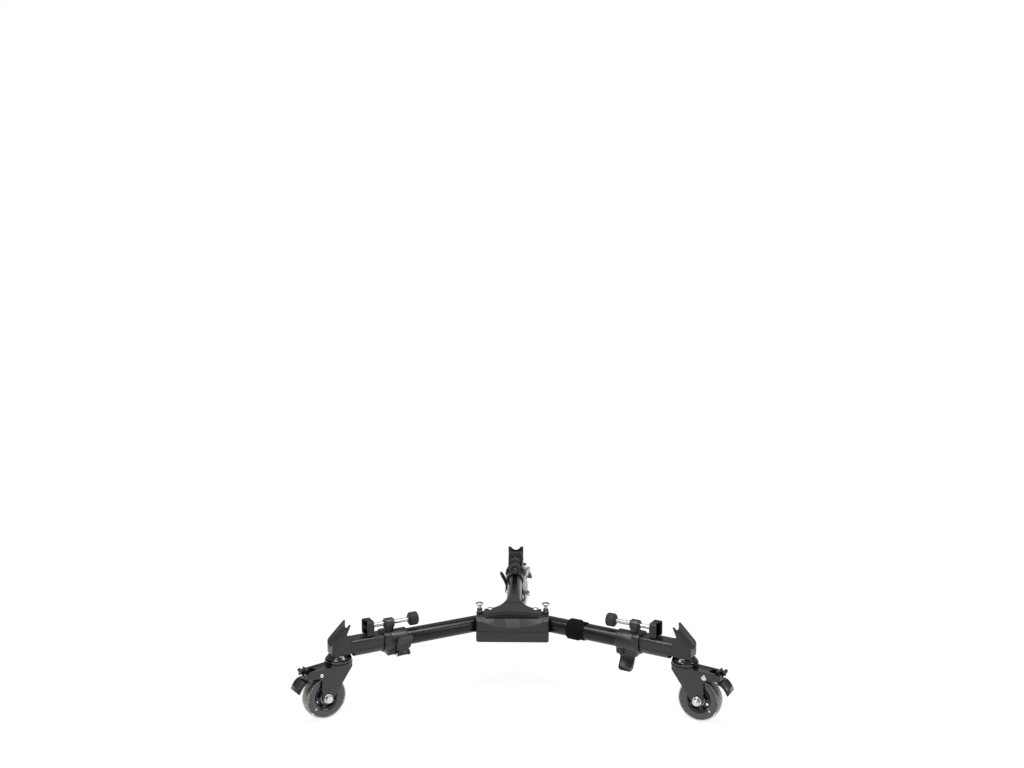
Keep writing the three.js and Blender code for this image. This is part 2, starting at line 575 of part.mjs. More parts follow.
// The pedal turns on the fork's pin: a curved foot plate to press, a tab to lift and a small roller
function brakePedal() {
  const half = pedal.width / 2;
  const armHalf = pedal.armWidth / 2;
  const armShares = [[-0.1, 0.12], [-0.1, -0.1], [0.3, -0.17], [0.59, -0.26], [0.64, -0.18], [0.3, 0.06]];
  const plateShares = [[0.52, -0.2], [0.54, -0.31], [0.68, -0.35], [0.79, -0.49], [0.87, -0.69],
    [0.955, -0.96], [1, -0.9], [0.925, -0.6], [0.83, -0.38], [0.7, -0.23]];
  const tabShares = [[0.46, 0.1], [0.54, -0.24], [0.62, -0.24], [0.56, 0.18], [0.5, 0.36], [0.61, 0.56],
    [0.55, 0.66], [0.375, 0.38]];
  const place = ([out, up]) => [fork.pinReach + pedal.length * out, forkPinHeight + pedal.height * up];
  const arm = outline(armShares.map(place));
  const plate = outline(plateShares.map(place));
  const tab = outline(tabShares.map(place));
  const rollerX = fork.pinReach + pedal.rollerOffset;
  const rollerZ = forkPinHeight + pedal.rollerRiseHeight;
  const rollerHalf = pedal.rollerRadius / 2;
  const neck = outline([place([0.56, 0.2]), place([0.58, -0.1]), [rollerX + rollerHalf, rollerZ - rollerHalf],
    [rollerX - rollerHalf, rollerZ + rollerHalf]]);
  const tabHalf = pedal.tabWidth / 2;
  const roller = turnedY(rod(pedal.rollerRadius, -tabHalf, tabHalf), smallSteps)
    .translate(rollerX, 0, rollerZ);
  const barrel = turnedY(rod(pedal.barrelRadius, -armHalf, armHalf), smallSteps)
    .translate(fork.pinReach, 0, forkPinHeight);
  const bore = turnedY(rod(fork.pinRadius + fit, -fork.width, fork.width), smallSteps)
    .translate(fork.pinReach, 0, forkPinHeight);
  return cut(join(alongY(arm, -armHalf, armHalf), alongY(plate, -half, half), alongY(tab, -tabHalf, tabHalf),
    alongY(neck, -tabHalf / 2, tabHalf / 2), roller, barrel), bore);
}

function caster(side, turn, parent) {
  const swivel = new THREE.Group();
  swivel.position.set(swivelReach, 0, 0);
  parent.add(swivel);
  piece(`${side}_swivel_race`, swivelRace(), glossBlack, swivel);
  const trailing = new THREE.Group();
  trailing.rotation.z = turn * degree;
  swivel.add(trailing);
  piece(`${side}_caster_fork`, casterFork(), glossBlack, trailing);
  piece(`${side}_brake_pedal`, brakePedal(), glossBlack, trailing);
  const wheel = new THREE.Group();
  wheel.position.set(fork.trailLength, 0, wheelRadius);
  trailing.add(wheel);
  piece(`${side}_wheel_tyre`, wheelTyre(), smoke, wheel);
  piece(`${side}_wheel_core`, wheelCore(), rubber, wheel);
  piece(`${side}_wheel_bearing`, wheelBearing(), zinc, wheel);
  piece(`${side}_axle_bolt`, axleBolt(), zinc, wheel);
}

function leg(side, turn, tubeSolid, leverTurn, casterTurn, parent) {
  const group = new THREE.Group();
  group.rotation.z = turn * degree;
  parent.add(group);
  piece(`${side}_inner_tube`, tubeSolid, anodised, group);
  piece(`${side}_outer_section`, outerSection(), charcoal, group);
  piece(`${side}_lock_collar`, lockCollar(), charcoal, group);
  const hinge = new THREE.Group();
  hinge.position.set(leverReach, lever.pinOffset, axisHeight - lever.pinDropHeight);
  group.add(hinge);
  piece(`${side}_lever_pin`, leverPin(), zinc, hinge);
  piece(`${side}_lock_lever`, lockLever(), nylon, hinge).rotation.x = leverTurn * degree;
  piece(`${side}_foot_post`, footPost(), charcoal, group);
  const screwLine = new THREE.Group();
  screwLine.position.set(0, 0, screwHeight);
  group.add(screwLine);
  piece(`${side}_clamp_screw`, clampScrew(), nickel, screwLine);
  piece(`${side}_clamp_knob`, clampKnob(), rubber, screwLine);
  piece(`${side}_clamp_jaw`, clampJaw(), rubber, group);
  piece(`${side}_end_block`, endBlock(), charcoal, group);
  caster(side, casterTurn, group);
  return group;
}

// Hub outline: the box of the carry handle in front, drawn in to an apex over the rear leg
function hubOutline(inset) {
  const half = hub.halfWidth - inset;
  const backShares = [[0.44, 0.1], [0.3, 0.4], [0.15, 0.87]];
  const apex = hub.apexReach - inset;
  const [near, far, end] = backShares.map(([x, y]) => [hub.halfWidth * x - inset, apex * y]);
  const shape = new THREE.Shape();
  shape.moveTo(hub.cornerRadius - half, -hub.frontReach);
  shape.lineTo(half - hub.cornerRadius, -hub.frontReach);
  shape.absarc(half - hub.cornerRadius, hub.cornerRadius - hub.frontReach, hub.cornerRadius, -Math.PI / 2, 0);
  shape.lineTo(half, -hub.backReach - hub.backRadius);
  shape.absarc(half - hub.backRadius, -hub.backReach - hub.backRadius, hub.backRadius, 0, Math.PI / 2);
  shape.bezierCurveTo(near[0], -hub.backReach + near[1], far[0], 0, end[0], end[1]);
  shape.quadraticCurveTo(end[0], apex, 0, apex);
  shape.quadraticCurveTo(-end[0], apex, -end[0], end[1]);
  shape.bezierCurveTo(-far[0], 0, -near[0], -hub.backReach + near[1], hub.backRadius - half, -hub.backReach);
  shape.absarc(hub.backRadius - half, -hub.backReach - hub.backRadius, hub.backRadius, Math.PI / 2, Math.PI);
  shape.lineTo(-half, hub.cornerRadius - hub.frontReach);
  shape.absarc(hub.cornerRadius - half, hub.cornerRadius - hub.frontReach, hub.cornerRadius,
    Math.PI, 1.5 * Math.PI);
  return shape;
}

const slotFront = hub.barThickness - hub.frontReach;

function fingerSlot() {
  const end = slotFront + slot.endDepth;
  const crown = slotFront + 2 * slot.middleDepth - slot.endDepth;
  const shape = new THREE.Shape();
  shape.moveTo(-slot.halfWidth, slotFront);
  shape.lineTo(slot.halfWidth, slotFront);
  shape.lineTo(slot.halfWidth, end);
  shape.quadraticCurveTo(0, crown, -slot.halfWidth, end);
  return alongZ(shape, hubBottom - overrun, hubTop + overrun);
}

// The raised plate stands behind the slot and between the two plungers
function raisedPlate() {
  const front = slotFront - hub.frontReach;
  const behindSlot = new THREE.Shape();
  const end = slotFront + slot.endDepth + slot.rimWidth;
  const crown = slotFront + 2 * slot.middleDepth - slot.endDepth + slot.rimWidth;
  behindSlot.moveTo(-hub.plateHalfWidth, end);
  behindSlot.lineTo(-slot.halfWidth, end);
  behindSlot.quadraticCurveTo(0, crown, slot.halfWidth, end);
  behindSlot.lineTo(hub.plateHalfWidth, end);
  behindSlot.lineTo(hub.plateHalfWidth, -front);
  behindSlot.lineTo(-hub.plateHalfWidth, -front);
  return common(alongZ(hubOutline(slot.rimWidth), hubShoulder - fit, hubTop),
    alongZ(behindSlot, hubShoulder - fit, hubTop));
}

// How far a folding tube's inner end reaches past its pivot
function foldTail() {
  return (Math.hypot(pivot.tailLength, tube.radius) + fold.gap) / Math.cos(Math.PI / roundSteps);
}

// The space that a folding leg's tube sweeps inside the hub
function foldSweep() {
  const side = tube.radius + fold.gap;
  const tail = foldTail();
  const start = frontLegTurn * degree;
  const end = start + fold.turn * degree;
  const centre = polar(pivot.reach, start);
  const far = 2 * hub.halfWidth;
  const quarter = Math.PI / 2;
  const offset = (angle, along) => {
    const [x, y] = polar(side, angle, ...centre);
    return [x + along[0], y + along[1]];
  };
  const points = [offset(start - quarter, [0, 0]), offset(start - quarter, polar(far, start))];
  for (let i = 0; i <= hub.sideSteps; i += 1) {
    points.push(polar(far, start + (end - start) * i / hub.sideSteps, ...centre));
  }
  points.push(offset(end + quarter, polar(far, end)), offset(end + quarter, [0, 0]));
  for (let i = 0; i <= hub.sideSteps; i += 1) {
    const angle = end + quarter + (2 * Math.PI - (end - start) - 2 * quarter) * i / hub.sideSteps;
    points.push(polar(tail, angle, ...centre));
  }
  return points;
}

// The handle's grip: cut away above a crest that sags in the middle, rising towards the slot
function gripCut() {
  const shape = new THREE.Shape();
  const crest = axisHeight + hub.crestHeight;
  const crestEnd = axisHeight + hub.crestEndHeight;
  shape.moveTo(-hub.crestHalfWidth, crestEnd);
  shape.quadraticCurveTo(0, 2 * crest - crestEnd, hub.crestHalfWidth, crestEnd);
  shape.lineTo(hub.crestHalfWidth, hubTop + hub.barThickness);
  shape.lineTo(-hub.crestHalfWidth, hubTop + hub.barThickness);
  const slope = (hub.barHeight - hub.crestHeight) / hub.barThickness;
  const lean = new THREE.Matrix4()
    .set(1, 0, 0, 0, 0, 1, 0, 0, 0, slope, 1, slope * hub.frontReach, 0, 0, 0, 1);
  return extruded(shape, hub.barThickness + overrun, hub.sideSteps).applyMatrix4(ontoY)
    .translate(0, slotFront, 0).applyMatrix4(lean);
}

function hubWhole() {
  const sweepLow = axisHeight - tube.radius - fold.gap;
  const sweepHigh = axisHeight + tube.radius + fold.gap;
  const right = foldSweep();
  const left = right.map(([x, y]) => [-x, y]).reverse();
  const tails = [-1, 1].map((side) => {
    const [x, y] = polar(pivot.reach, frontLegTurn * degree);
    return turnedZ(rod(foldTail(), sweepLow, sweepHigh)).translate(side * x, y, 0);
  });
  const frontWells = [pivot.reach, plungerReach].flatMap((reach, i) => [-1, 1].map((side) => {
    const [x, y] = polar(reach, frontLegTurn * degree);
    const radius = i ? plunger.barrelRadius + fit : pivot.radius + fit;
    const low = i ? axisHeight : hubBottom - overrun;
    return turnedZ(rod(radius, low, hubTop + overrun), smallSteps).translate(side * x, y, 0);
  }));
  const recesses = [-1, 1].map((side) => {
    const [x, y] = polar(pivot.reach, frontLegTurn * degree);
    const radius = pivot.nutFlatsWidth / 2 / Math.cos(Math.PI / 6) + 2 * fit;
    return turnedZ(rod(radius, hubBottom - overrun, hubBottom + pivot.recessDepth), smallSteps)
      .translate(side * x, y, 0);
  });
  const rearBore = turnedX(rod(boreRadius, rearTubeStart - fit, hub.apexReach + overrun))
    .rotateZ(Math.PI / 2).translate(0, 0, axisHeight);
  return cut(join(alongZ(hubOutline(0), hubBottom, hubShoulder), raisedPlate()),
    alongZ(outline(right), sweepLow, sweepHigh), alongZ(outline(left), sweepLow, sweepHigh),
    ...tails, rearBore, fingerSlot(), gripCut(), ...frontWells, ...recesses);
}

function hubPieces(parent) {
  const whole = hubWhole();
  const wide = 2 * hub.halfWidth;
  const lower = box(-wide, wide, -wide, wide, hubBottom - overrun, hubSeam);
  const upper = box(-wide, wide, -wide, wide, hubSeam + fit, hubTop + overrun);
  piece('hub_bottom', whole.intersect(solid(lower)), nylon, parent);
  piece('hub_top', whole.intersect(solid(upper)), nylon, parent);
}

function pivotBolt() {
  const headTopShare = 0.8;
  const headBottom = hubTop + fit;
  const nutBottom = hubBottom + fit;
  const shank = turnedZ([[0, nutBottom], [pivot.radius, nutBottom], [pivot.radius, headBottom],
    [pivot.headRadius, headBottom], [pivot.headRadius, headBottom + pivot.headHeight / 2],
    [pivot.headRadius * headTopShare, headBottom + pivot.headHeight], [0, headBottom + pivot.headHeight]],
  smallSteps);
  return join(shank, alongZ(regular(6, pivot.nutFlatsWidth), nutBottom, nutBottom + pivot.nutHeight));
}

function plungerBarrel() {
  const low = axisHeight + tube.radius + 2 * fold.gap;
  const seat = hubShoulder + fit;
  const top = hubShoulder + plunger.barrelHeight;
  const bore = plunger.pinRadius + fit;
  return turnedZ([[bore, low], [plunger.barrelRadius, low], [plunger.barrelRadius, seat],
    [plunger.flangeRadius, seat], [plunger.flangeRadius, seat + plunger.flangeHeight],
    [plunger.barrelRadius, seat + plunger.flangeHeight], [plunger.barrelRadius, top], [bore, top],
    [bore, low]], smallSteps);
}

function plungerPin() {
  const tip = axisHeight + tube.radius + fit;
  const knobBottom = hubShoulder + plunger.barrelHeight + plunger.travelLength + fit;
  const knobTop = knobBottom + plunger.knobHeight;
  const capShares = [[0.72, 0], [1, 0.3], [1, 0.6], [0.66, 0.93]];
  return turnedZ([[0, tip], [plunger.pinRadius, tip], [plunger.pinRadius, knobBottom],
    ...capShares.map(([r, z]) => [plunger.knobRadius * r, knobBottom + plunger.knobHeight * z]),
    [0, knobTop]], mediumSteps);
}

function hookStrap() {
  const inner = tube.radius + fit;
  const end = strap.reach + strap.width;
  const tailEnd = end + strap.tailLength;
  return turnedX([[inner, strap.reach], [tube.radius + strap.thickness, strap.reach],
    [tube.radius + strap.thickness, end], [tube.radius + strap.tailThickness, end + fit],
    [tube.radius + strap.tailThickness, tailEnd], [inner, tailEnd], [inner, strap.reach]])
    .translate(0, 0, axisHeight);
}

// Assembly
const dolly = new THREE.Group();
const tripod = new THREE.Group();
dolly.add(tripod);

hubPieces(tripod);
for (const [side, sign] of [['left', -1], ['right', 1]]) {
  const [px, py] = polar(pivot.reach, frontLegTurn * degree);
  const [qx, qy] = polar(plungerReach, frontLegTurn * degree);
  piece(`${side}_pivot_bolt`, pivotBolt(), zinc, tripod).position.set(sign * px, py, 0);
  piece(`${side}_plunger_barrel`, plungerBarrel(), glossBlack, tripod).position.set(sign * qx, qy, 0);
  piece(`${side}_plunger_pin`, plungerPin(), nickel, tripod).position.set(sign * qx, qy, 0);
}

// How the levers and casters stand: the right lever hangs open, the casters trail outward
const leftCasterTurn = 8;
const rightCasterTurn = 1;
const rearCasterTurn = -14;
leg('left', halfTurn - frontLegTurn, foldingTube(), 0, leftCasterTurn, tripod);
const rightLeg = leg('right', frontLegTurn, foldingTube(), lever.openTurn, rightCasterTurn, tripod);
leg('rear', rearLegTurn, innerTube(rearTubeStart), 0, rearCasterTurn, tripod);
piece('strap', hookStrap(), hook, rightLeg);

// The origin is on the floor under the middle of the dolly's outline
dolly.updateMatrixWorld(true);
const span = new THREE.Box3().setFromObject(dolly, true);
tripod.position.set(-(span.min.x + span.max.x) / 2, -(span.min.y + span.max.y) / 2, 0);
dolly.updateMatrixWorld(true);

export default dolly;
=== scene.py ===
"""A three-legged rolling dolly for a camera tripod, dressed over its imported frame.

Each leg's pieces are modelled once, on a leg that points along +X from the middle of the dolly with
its left-hand side towards +Y, then copied to the three legs. Casters are modelled round their swivel
axis and trail along +X. Helper functions take metres; mm() turns tables of millimetres into metres.
"""
import math

import bpy
from bpy.props import FloatProperty, FloatVectorProperty, IntProperty, PointerProperty
from mathutils import Matrix, Vector


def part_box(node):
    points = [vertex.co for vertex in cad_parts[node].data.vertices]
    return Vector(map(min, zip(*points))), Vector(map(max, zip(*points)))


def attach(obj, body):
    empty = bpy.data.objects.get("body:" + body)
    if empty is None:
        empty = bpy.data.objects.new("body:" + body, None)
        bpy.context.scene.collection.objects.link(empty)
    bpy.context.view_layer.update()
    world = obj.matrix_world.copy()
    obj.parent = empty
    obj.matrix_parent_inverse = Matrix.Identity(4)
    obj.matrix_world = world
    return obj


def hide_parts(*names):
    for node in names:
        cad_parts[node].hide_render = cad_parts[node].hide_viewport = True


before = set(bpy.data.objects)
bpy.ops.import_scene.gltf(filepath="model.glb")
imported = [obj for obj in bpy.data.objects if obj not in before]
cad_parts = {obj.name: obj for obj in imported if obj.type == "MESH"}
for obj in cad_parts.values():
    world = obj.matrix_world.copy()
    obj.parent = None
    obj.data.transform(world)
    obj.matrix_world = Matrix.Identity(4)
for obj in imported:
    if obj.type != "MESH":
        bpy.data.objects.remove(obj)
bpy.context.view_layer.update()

bl_info = {
    "name": "Tripod dolly",
    "version": (1, 0, 0),
    "blender": (4, 5, 0),
    "location": "View3D > Sidebar > Dolly",
    "description": "Models and finishes the pieces of a three-legged rolling dolly",
    "category": "Add Mesh",
}

MM = 0.001
SIDES = ("left", "right", "rear")
LEG_TURN = {"left": 210, "right": -30, "rear": 90}
CASTER_TURN = {"left": 8, "right": 1, "rear": -14}
LEVER_TURN = {"left": 0, "right": -180, "rear": 0}
HUB_FRONT = 67 * MM
HUB_LOW, HUB_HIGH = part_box("hub_bottom")
MIDDLE = Vector(((HUB_LOW.x + HUB_HIGH.x) / 2, HUB_LOW.y + HUB_FRONT, 0))


def mm(*values):
    """Millimetres as metres: one number, or a tuple of them"""
    scaled = tuple(value * MM for value in values)
    return scaled[0] if len(scaled) == 1 else scaled


PIVOT_REACH, PLUNGER_REACH = mm(50, 72)
PIVOT_HOLE = 4.3 * MM
TUBE_CLEAR = 15.3 * MM
PAST = 0.01
LEVER_AXIS = mm(235.1, 17, -22.5)
PEDAL_AXIS = mm(39.9, 0, 81.6)


def table(*points):
    """A table of points in millimetres as metres"""
    return [mm(*point) for point in points]


def linear(code):
    """The linear colour of an sRGB hex value"""
    parts = [((code >> shift) & 255) / 255 for shift in (16, 8, 0)]
    return tuple(c / 12.92 if c <= 0.04045 else ((c + 0.055) / 1.055) ** 2.4 for c in parts) + (1.0,)


# Selecting and finishing

def deselect():
    """Leave edit mode with nothing selected"""
    if bpy.context.object and bpy.context.object.mode != "OBJECT":
        bpy.ops.object.mode_set(mode="OBJECT")
    bpy.ops.object.select_all(action="DESELECT")


def pick(piece):
    """Make one piece the selected and active one"""
    deselect()
    piece.select_set(True)
    bpy.context.view_layer.objects.active = piece
    return piece


def place_in_mesh(piece, place):
    """Move a piece and put its place in its mesh"""
    pick(piece)
    piece.matrix_world = place
    bpy.ops.object.transform_apply(location=True, rotation=True, scale=True)
    return piece


def tidy_normals(piece, seam=0.001 * MM):
    """Close doubled seams and point all faces outwards"""
    pick(piece)
    bpy.ops.object.mode_set(mode="EDIT")
    bpy.ops.mesh.select_all(action="SELECT")
    bpy.ops.mesh.remove_doubles(threshold=seam)
    bpy.ops.mesh.normals_make_consistent(inside=False)
    bpy.ops.object.mode_set(mode="OBJECT")
    return piece


def modify(piece, kind, **settings):
    """Add a modifier with its settings and apply it"""
    pick(piece)
    bpy.ops.object.modifier_add(type=kind)
    made = piece.modifiers[-1]
    for key, value in settings.items():
        setattr(made, key, value)
    bpy.ops.object.modifier_apply(modifier=made.name)
    return piece


def with_tools(piece, operation, tools):
    """Join or cut a piece with tools, and drop the tools"""
    for tool in tools:
        modify(piece, "BOOLEAN", operation=operation, solver="EXACT", object=tool)
        bpy.data.objects.remove(tool)
    return piece


def cut(piece, *tools):
    """Cut tools out of a piece"""
    return with_tools(piece, "DIFFERENCE", tools)


def weld(piece, *others):
    """Join other solids to a piece"""
    return with_tools(piece, "UNION", others)


def common(piece, *others):
    """Keep only what a piece shares with other solids"""
    return with_tools(piece, "INTERSECT", others)


def round_edges(piece, width, segments=2, angle=32):
    """Round the edges of a piece that are sharper than an angle, once its slivers are closed"""
    tidy_normals(piece, 0.03 * MM)
    modify(piece, "BEVEL", width=width, segments=segments, limit_method="ANGLE",
           angle_limit=math.radians(angle), use_clamp_overlap=True)
    return smooth(piece)


def smooth(piece, angle=38):
    """Shade a piece smooth but for edges sharper than an angle"""
    pick(piece)
    bpy.ops.object.shade_smooth_by_angle(angle=math.radians(angle))
    return piece


# Stock shapes

AXES = {"X": Matrix.Rotation(math.pi / 2, 4, "Y"), "Y": Matrix.Rotation(-math.pi / 2, 4, "X"),
        "Z": Matrix.Identity(4)}


def turned(name, rings, axis="Z", at=(0, 0, 0), sides=72, hollow=False):
    """Turn a piece on a lathe: rings of (radius, place) along its axis; a hollow one closes on itself"""
    deselect()
    radius, along = rings[0]
    bpy.ops.mesh.primitive_circle_add(vertices=sides, radius=radius, location=(0, 0, along),
                                      fill_type="NOTHING" if hollow else "NGON")
    piece = bpy.context.object
    piece.name = name
    bpy.ops.object.transform_apply(location=True)
    bpy.ops.object.mode_set(mode="EDIT")
    bpy.ops.mesh.select_all(action="SELECT")
    extrude = bpy.ops.mesh.extrude_edges_move if hollow else bpy.ops.mesh.extrude_region_move
    for wider, further in rings[1:] + (rings[:1] if hollow else []):
        extrude(TRANSFORM_OT_translate={"value": (0, 0, further - along)})
        bpy.ops.transform.resize(value=(wider / radius, wider / radius, 1), center_override=(0, 0, further))
        radius, along = wider, further
    bpy.ops.object.mode_set(mode="OBJECT")
    tidy_normals(piece)
    return place_in_mesh(piece, Matrix.Translation(Vector(at)) @ AXES[axis])


def cylinder(name, radius, low, high, axis="Z", at=(0, 0, 0), sides=72):
    return turned(name, [(radius, low), (radius, high)], axis, at, sides)


def both_ways(*points):
    """A lathe table in millimetres and its mirror image on the other side of zero, as metres"""
    return table(*points, *[(radius, -along) for radius, along in reversed(points)])


def plate(name, outline, low, high, axis="Z"):
    """Cut a plate to an outline: a many-sided face drawn to its corners, then extruded along the axis"""
    deselect()
    bpy.ops.mesh.primitive_circle_add(vertices=len(outline), radius=1, fill_type="NGON")
    piece = bpy.context.object
    piece.name = name
    order = {"X": lambda a, b: (low, a, b),
             "Y": lambda a, b: (a, low, b),
             "Z": lambda a, b: (a, b, low)}[axis]
    for corner, point in zip(piece.data.vertices, outline):
        corner.co = order(*point)
    step = Vector([(high - low) * (name_of == axis) for name_of in "XYZ"])
    bpy.ops.object.mode_set(mode="EDIT")
    bpy.ops.mesh.select_all(action="SELECT")
    bpy.ops.mesh.extrude_region_move(TRANSFORM_OT_translate={"value": step})
    return tidy_normals(piece)


def block(name, low, high):
    """A squared block between two corners"""
    deselect()
    low, high = Vector(low), Vector(high)
    bpy.ops.mesh.primitive_cube_add(size=1, location=(low + high) / 2, scale=high - low)
    piece = bpy.context.object
    piece.name = name
    bpy.ops.object.transform_apply(location=True, rotation=True, scale=True)
    return piece


def arc(radius, start, end, steps, x=0.0, y=0.0):
    """Points on an arc, from one angle in degrees to another"""
    angles = [math.radians(start + (end - start) * i / steps) for i in range(steps + 1)]
    return [(x + radius * math.cos(a), y + radius * math.sin(a)) for a in angles]


def bend(points, steps):
    """Points on a curve that its control points pull"""
    made = []
    for i in range(steps + 1):
        t, row = i / steps, [Vector(point) for point in points]
        while len(row) > 1:
            row = [a.lerp(b, t) for a, b in zip(row, row[1:])]
        made.append(tuple(row[0]))
    return made


def rounded_rectangle(x0, y0, x1, y1, corner, steps=6):
    """A rectangle between two corners, with all four rounded"""
    outline = []
    for start, x, y in ((-90, x1 - corner, y0 + corner), (0, x1 - corner, y1 - corner),
                        (90, x0 + corner, y1 - corner), (180, x0 + corner, y0 + corner)):
        outline += arc(corner, start, start + 90, steps, x, y)
    return outline


def polygon(sides, flats, turn=0.0):
    """A regular outline by the distance across its flats"""
    corner = flats / 2 / math.cos(math.pi / sides)
    return arc(corner, turn, turn + 360 - 360 / sides, sides - 1)


# Places

def leg_place(side):
    """Where a piece modelled along +X goes on a leg"""
    return Matrix.Translation(MIDDLE) @ Matrix.Rotation(math.radians(LEG_TURN[side]), 4, "Z")


def swivel_reach():
    return bpy.context.scene.dolly_casters.swivel_reach


def caster_place(side):
    """Where a piece modelled round the swivel axis goes on a leg"""
    return (leg_place(side) @ Matrix.Translation((swivel_reach(), 0, 0))
            @ Matrix.Rotation(math.radians(CASTER_TURN[side]), 4, "Z"))


def keep_own_place(piece):
    """Note each point's place on the piece itself, for patterns that follow a leg or a wheel"""
    own = piece.data.attributes.new("own_place", "FLOAT_VECTOR", "POINT")
    own.data.foreach_set("vector", [number for v in piece.data.vertices for number in v.co])


def install(piece, name, place, node, body, slot_name, *finishes):
    """Set a finished piece in its place on the body that carries it"""
    keep_own_place(piece)
    if finishes:
        piece.data.materials.clear()
        for finish in finishes:
            piece.data.materials.append(finish)
    place_in_mesh(piece, place)
    piece.name = piece.data.name = name
    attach(piece, body)
    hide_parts(node)
    return piece


def set_out(master, places, node, body, slot_name, *finishes):
    """Copy a finished piece to its places, a matrix for each side, and drop the pattern piece"""
    for side, place in places.items():
        pick(master)
        bpy.ops.object.duplicate()
        install(bpy.context.object, f"{master.name}_{side}", place, node.format(side), body.format(side),
                slot_name, *finishes)
    bpy.data.objects.remove(master)


def on_legs(sides=SIDES):
    """Places on the legs, raised to the tube's axis"""
    lift = Matrix.Translation((0, 0, bpy.context.scene.dolly_legs.axis_height))
    return {side: leg_place(side) @ lift for side in sides}


def on_casters():
    """Places on the casters"""
    return {side: caster_place(side) for side in SIDES}


# Sizes and colours that a user may change

def size(name, value, text):
    return FloatProperty(name=name, description=text, default=value * MM, min=0.0, precision=4,
                         subtype="DISTANCE", unit="LENGTH")


def colour(name, code, text):
    return FloatVectorProperty(name=name, description=text, default=linear(code), size=4, min=0.0, max=1.0,
                               subtype="COLOR")


def power(name, value):
    return FloatProperty(name=name, description=f"Power of the {name.lower()}", default=value, min=0.0,
                         unit="POWER")


class HubSizes(bpy.types.PropertyGroup):
    """Sizes of the hub and its carry handle"""
    half_width: size("Half width", 68, "Middle of the hub to its side")
    bottom: size("Underside", 88.1, "Height of the underside over the floor")
    seam: size("Seam", 108.6, "Height of the seam between the halves")
    shoulder: size("Shoulder", 134.1, "Height of the shoulder")
    top: size("Plate", 138.1, "Height of the raised plate")
    apex: size("Apex", 69, "Middle of the dolly to the hub's apex")
    bar: size("Handle bar", 9.5, "Thickness of the carry handle's bar")
    slot_half: size("Slot half width", 49, "Half width of the finger slot")
    edge: size("Edge", 0.9, "Rounding of the moulding's edges")


class LegSizes(bpy.types.PropertyGroup):
    """Sizes of the leg tubes and what slides on them"""
    axis_height: size("Axis height", 115.1, "Height of the tube's middle over the floor")
    tube_radius: size("Tube radius", 15, "Outer radius of the inner tube")
    tube_wall: size("Tube wall", 2.5, "Wall of the inner tube")
    groove_width: size("Groove width", 10, "Width of the groove along the tube's top")
    groove_depth: size("Groove depth", 1.2, "Depth of the groove along the tube's top")
    section_start: size("Section start", 256.4, "Middle of the dolly to the section's inner end")
    section_end: size("Section end", 332.7, "Middle of the dolly to the section's outer end")
    collar_start: size("Collar start", 223.1, "Middle of the dolly to the lock collar's inner end")
    collar_end: size("Collar end", 256.1, "Middle of the dolly to the lock collar's outer end")
    lever_length: size("Lever length", 37, "Length of the flip lever")
    lever_width: size("Lever width", 28, "Width of the flip lever")


class ClampSizes(bpy.types.PropertyGroup):
    """Sizes of the foot clamps"""
    screw_rise: size("Screw rise", 32, "Tube's middle to the foot screw's middle")
    screw_radius: size("Screw radius", 3.8, "Radius of the foot screw over its thread")
    screw_pitch: size("Thread pitch", 2, "Travel of the foot screw in one turn")
    knob_radius: size("Knob radius", 12, "Radius of the knob over its ridges")
    knob_ridges: IntProperty(name="Knob ridges", description="Ridges round the knob", default=18,
                             min=6, max=40)
    jaw_start: size("Jaw start", 288.5, "Middle of the dolly to the jaw's inner face")


class CasterSizes(bpy.types.PropertyGroup):
    """Sizes of the casters"""
    swivel_reach: size("Swivel reach", 351, "Middle of the dolly to a caster's swivel axis")
    wheel_radius: size("Wheel radius", 38, "Radius of the wheel over its tread")
    wheel_width: size("Wheel width", 24, "Width of the wheel")
    rim_width: size("Tread depth", 3.6, "Depth of the pale tread on the wheel's side")
    spokes: IntProperty(name="Spokes", description="Spokes of the wheel's core", default=5, min=3, max=12)
    fork_width: size("Fork width", 32, "Width over the fork's cheeks")
    trail: size("Trail", 29, "Swivel axis to the wheel's axle")


class DollyColours(bpy.types.PropertyGroup):
    """Colours of the finishes"""
    nylon: colour("Hub nylon", 0x19191B, "Glass-filled nylon of the hub")
    anodised: colour("Anodised tube", 0x0A0A0B, "Black anodised tubes")
    coat: colour("Powder coat", 0x18181A, "Charcoal powder coat of the castings and sections")
    lever: colour("Lever", 0x101011, "Moulded levers")
    lacquer: colour("Lacquer", 0x070607, "Gloss lacquer of the casters")
    zinc: colour("Zinc", 0xD3D6DA, "Zinc plate of nuts, bolts and rivets")
    nickel: colour("Nickel", 0xCFC0B4, "Warm nickel plate of rods and pull knobs")
    rubber: colour("Rubber", 0x121213, "Knobs and jaws")
    tread: colour("Tread", 0xE8E4D4, "Clear polyurethane of the treads")
    disc: colour("Wheel disc", 0x14141D, "Smoky polyurethane of the wheels")
    core: colour("Wheel core", 0x0C0C0D, "Moulded cores of the wheels")
    strap: colour("Strap", 0x0A0A0A, "Hook-and-loop strap")


class StageSettings(bpy.types.PropertyGroup):
    """Floor, lights and camera"""
    key: power("Key light", 16.0)
    fill: power("Fill light", 7.0)
    top: power("Top light", 44.0)
    lens: FloatProperty(name="Lens", description="Focal length", default=35.343, min=1.0, unit="CAMERA")


# Finishes

def add(tree, kind, inputs=(), **settings):
    """Add a node with its settings; inputs gives sockets a value or another node's output"""
    made = tree.nodes.new(kind)
    for key, value in settings.items():
        setattr(made, key, value)
    for socket, value in dict(inputs).items():
        if isinstance(value, bpy.types.NodeSocket):
            tree.links.new(value, made.inputs[socket])
        else:
            made.inputs[socket].default_value = value
    return made


def start_finish(name):
    """The material of a name with its tree emptied, so that all its pieces share one finish"""
    material = bpy.data.materials.get(name) or bpy.data.materials.new(name)
    material.use_nodes = True
    material.node_tree.nodes.clear()
    return material, material.node_tree


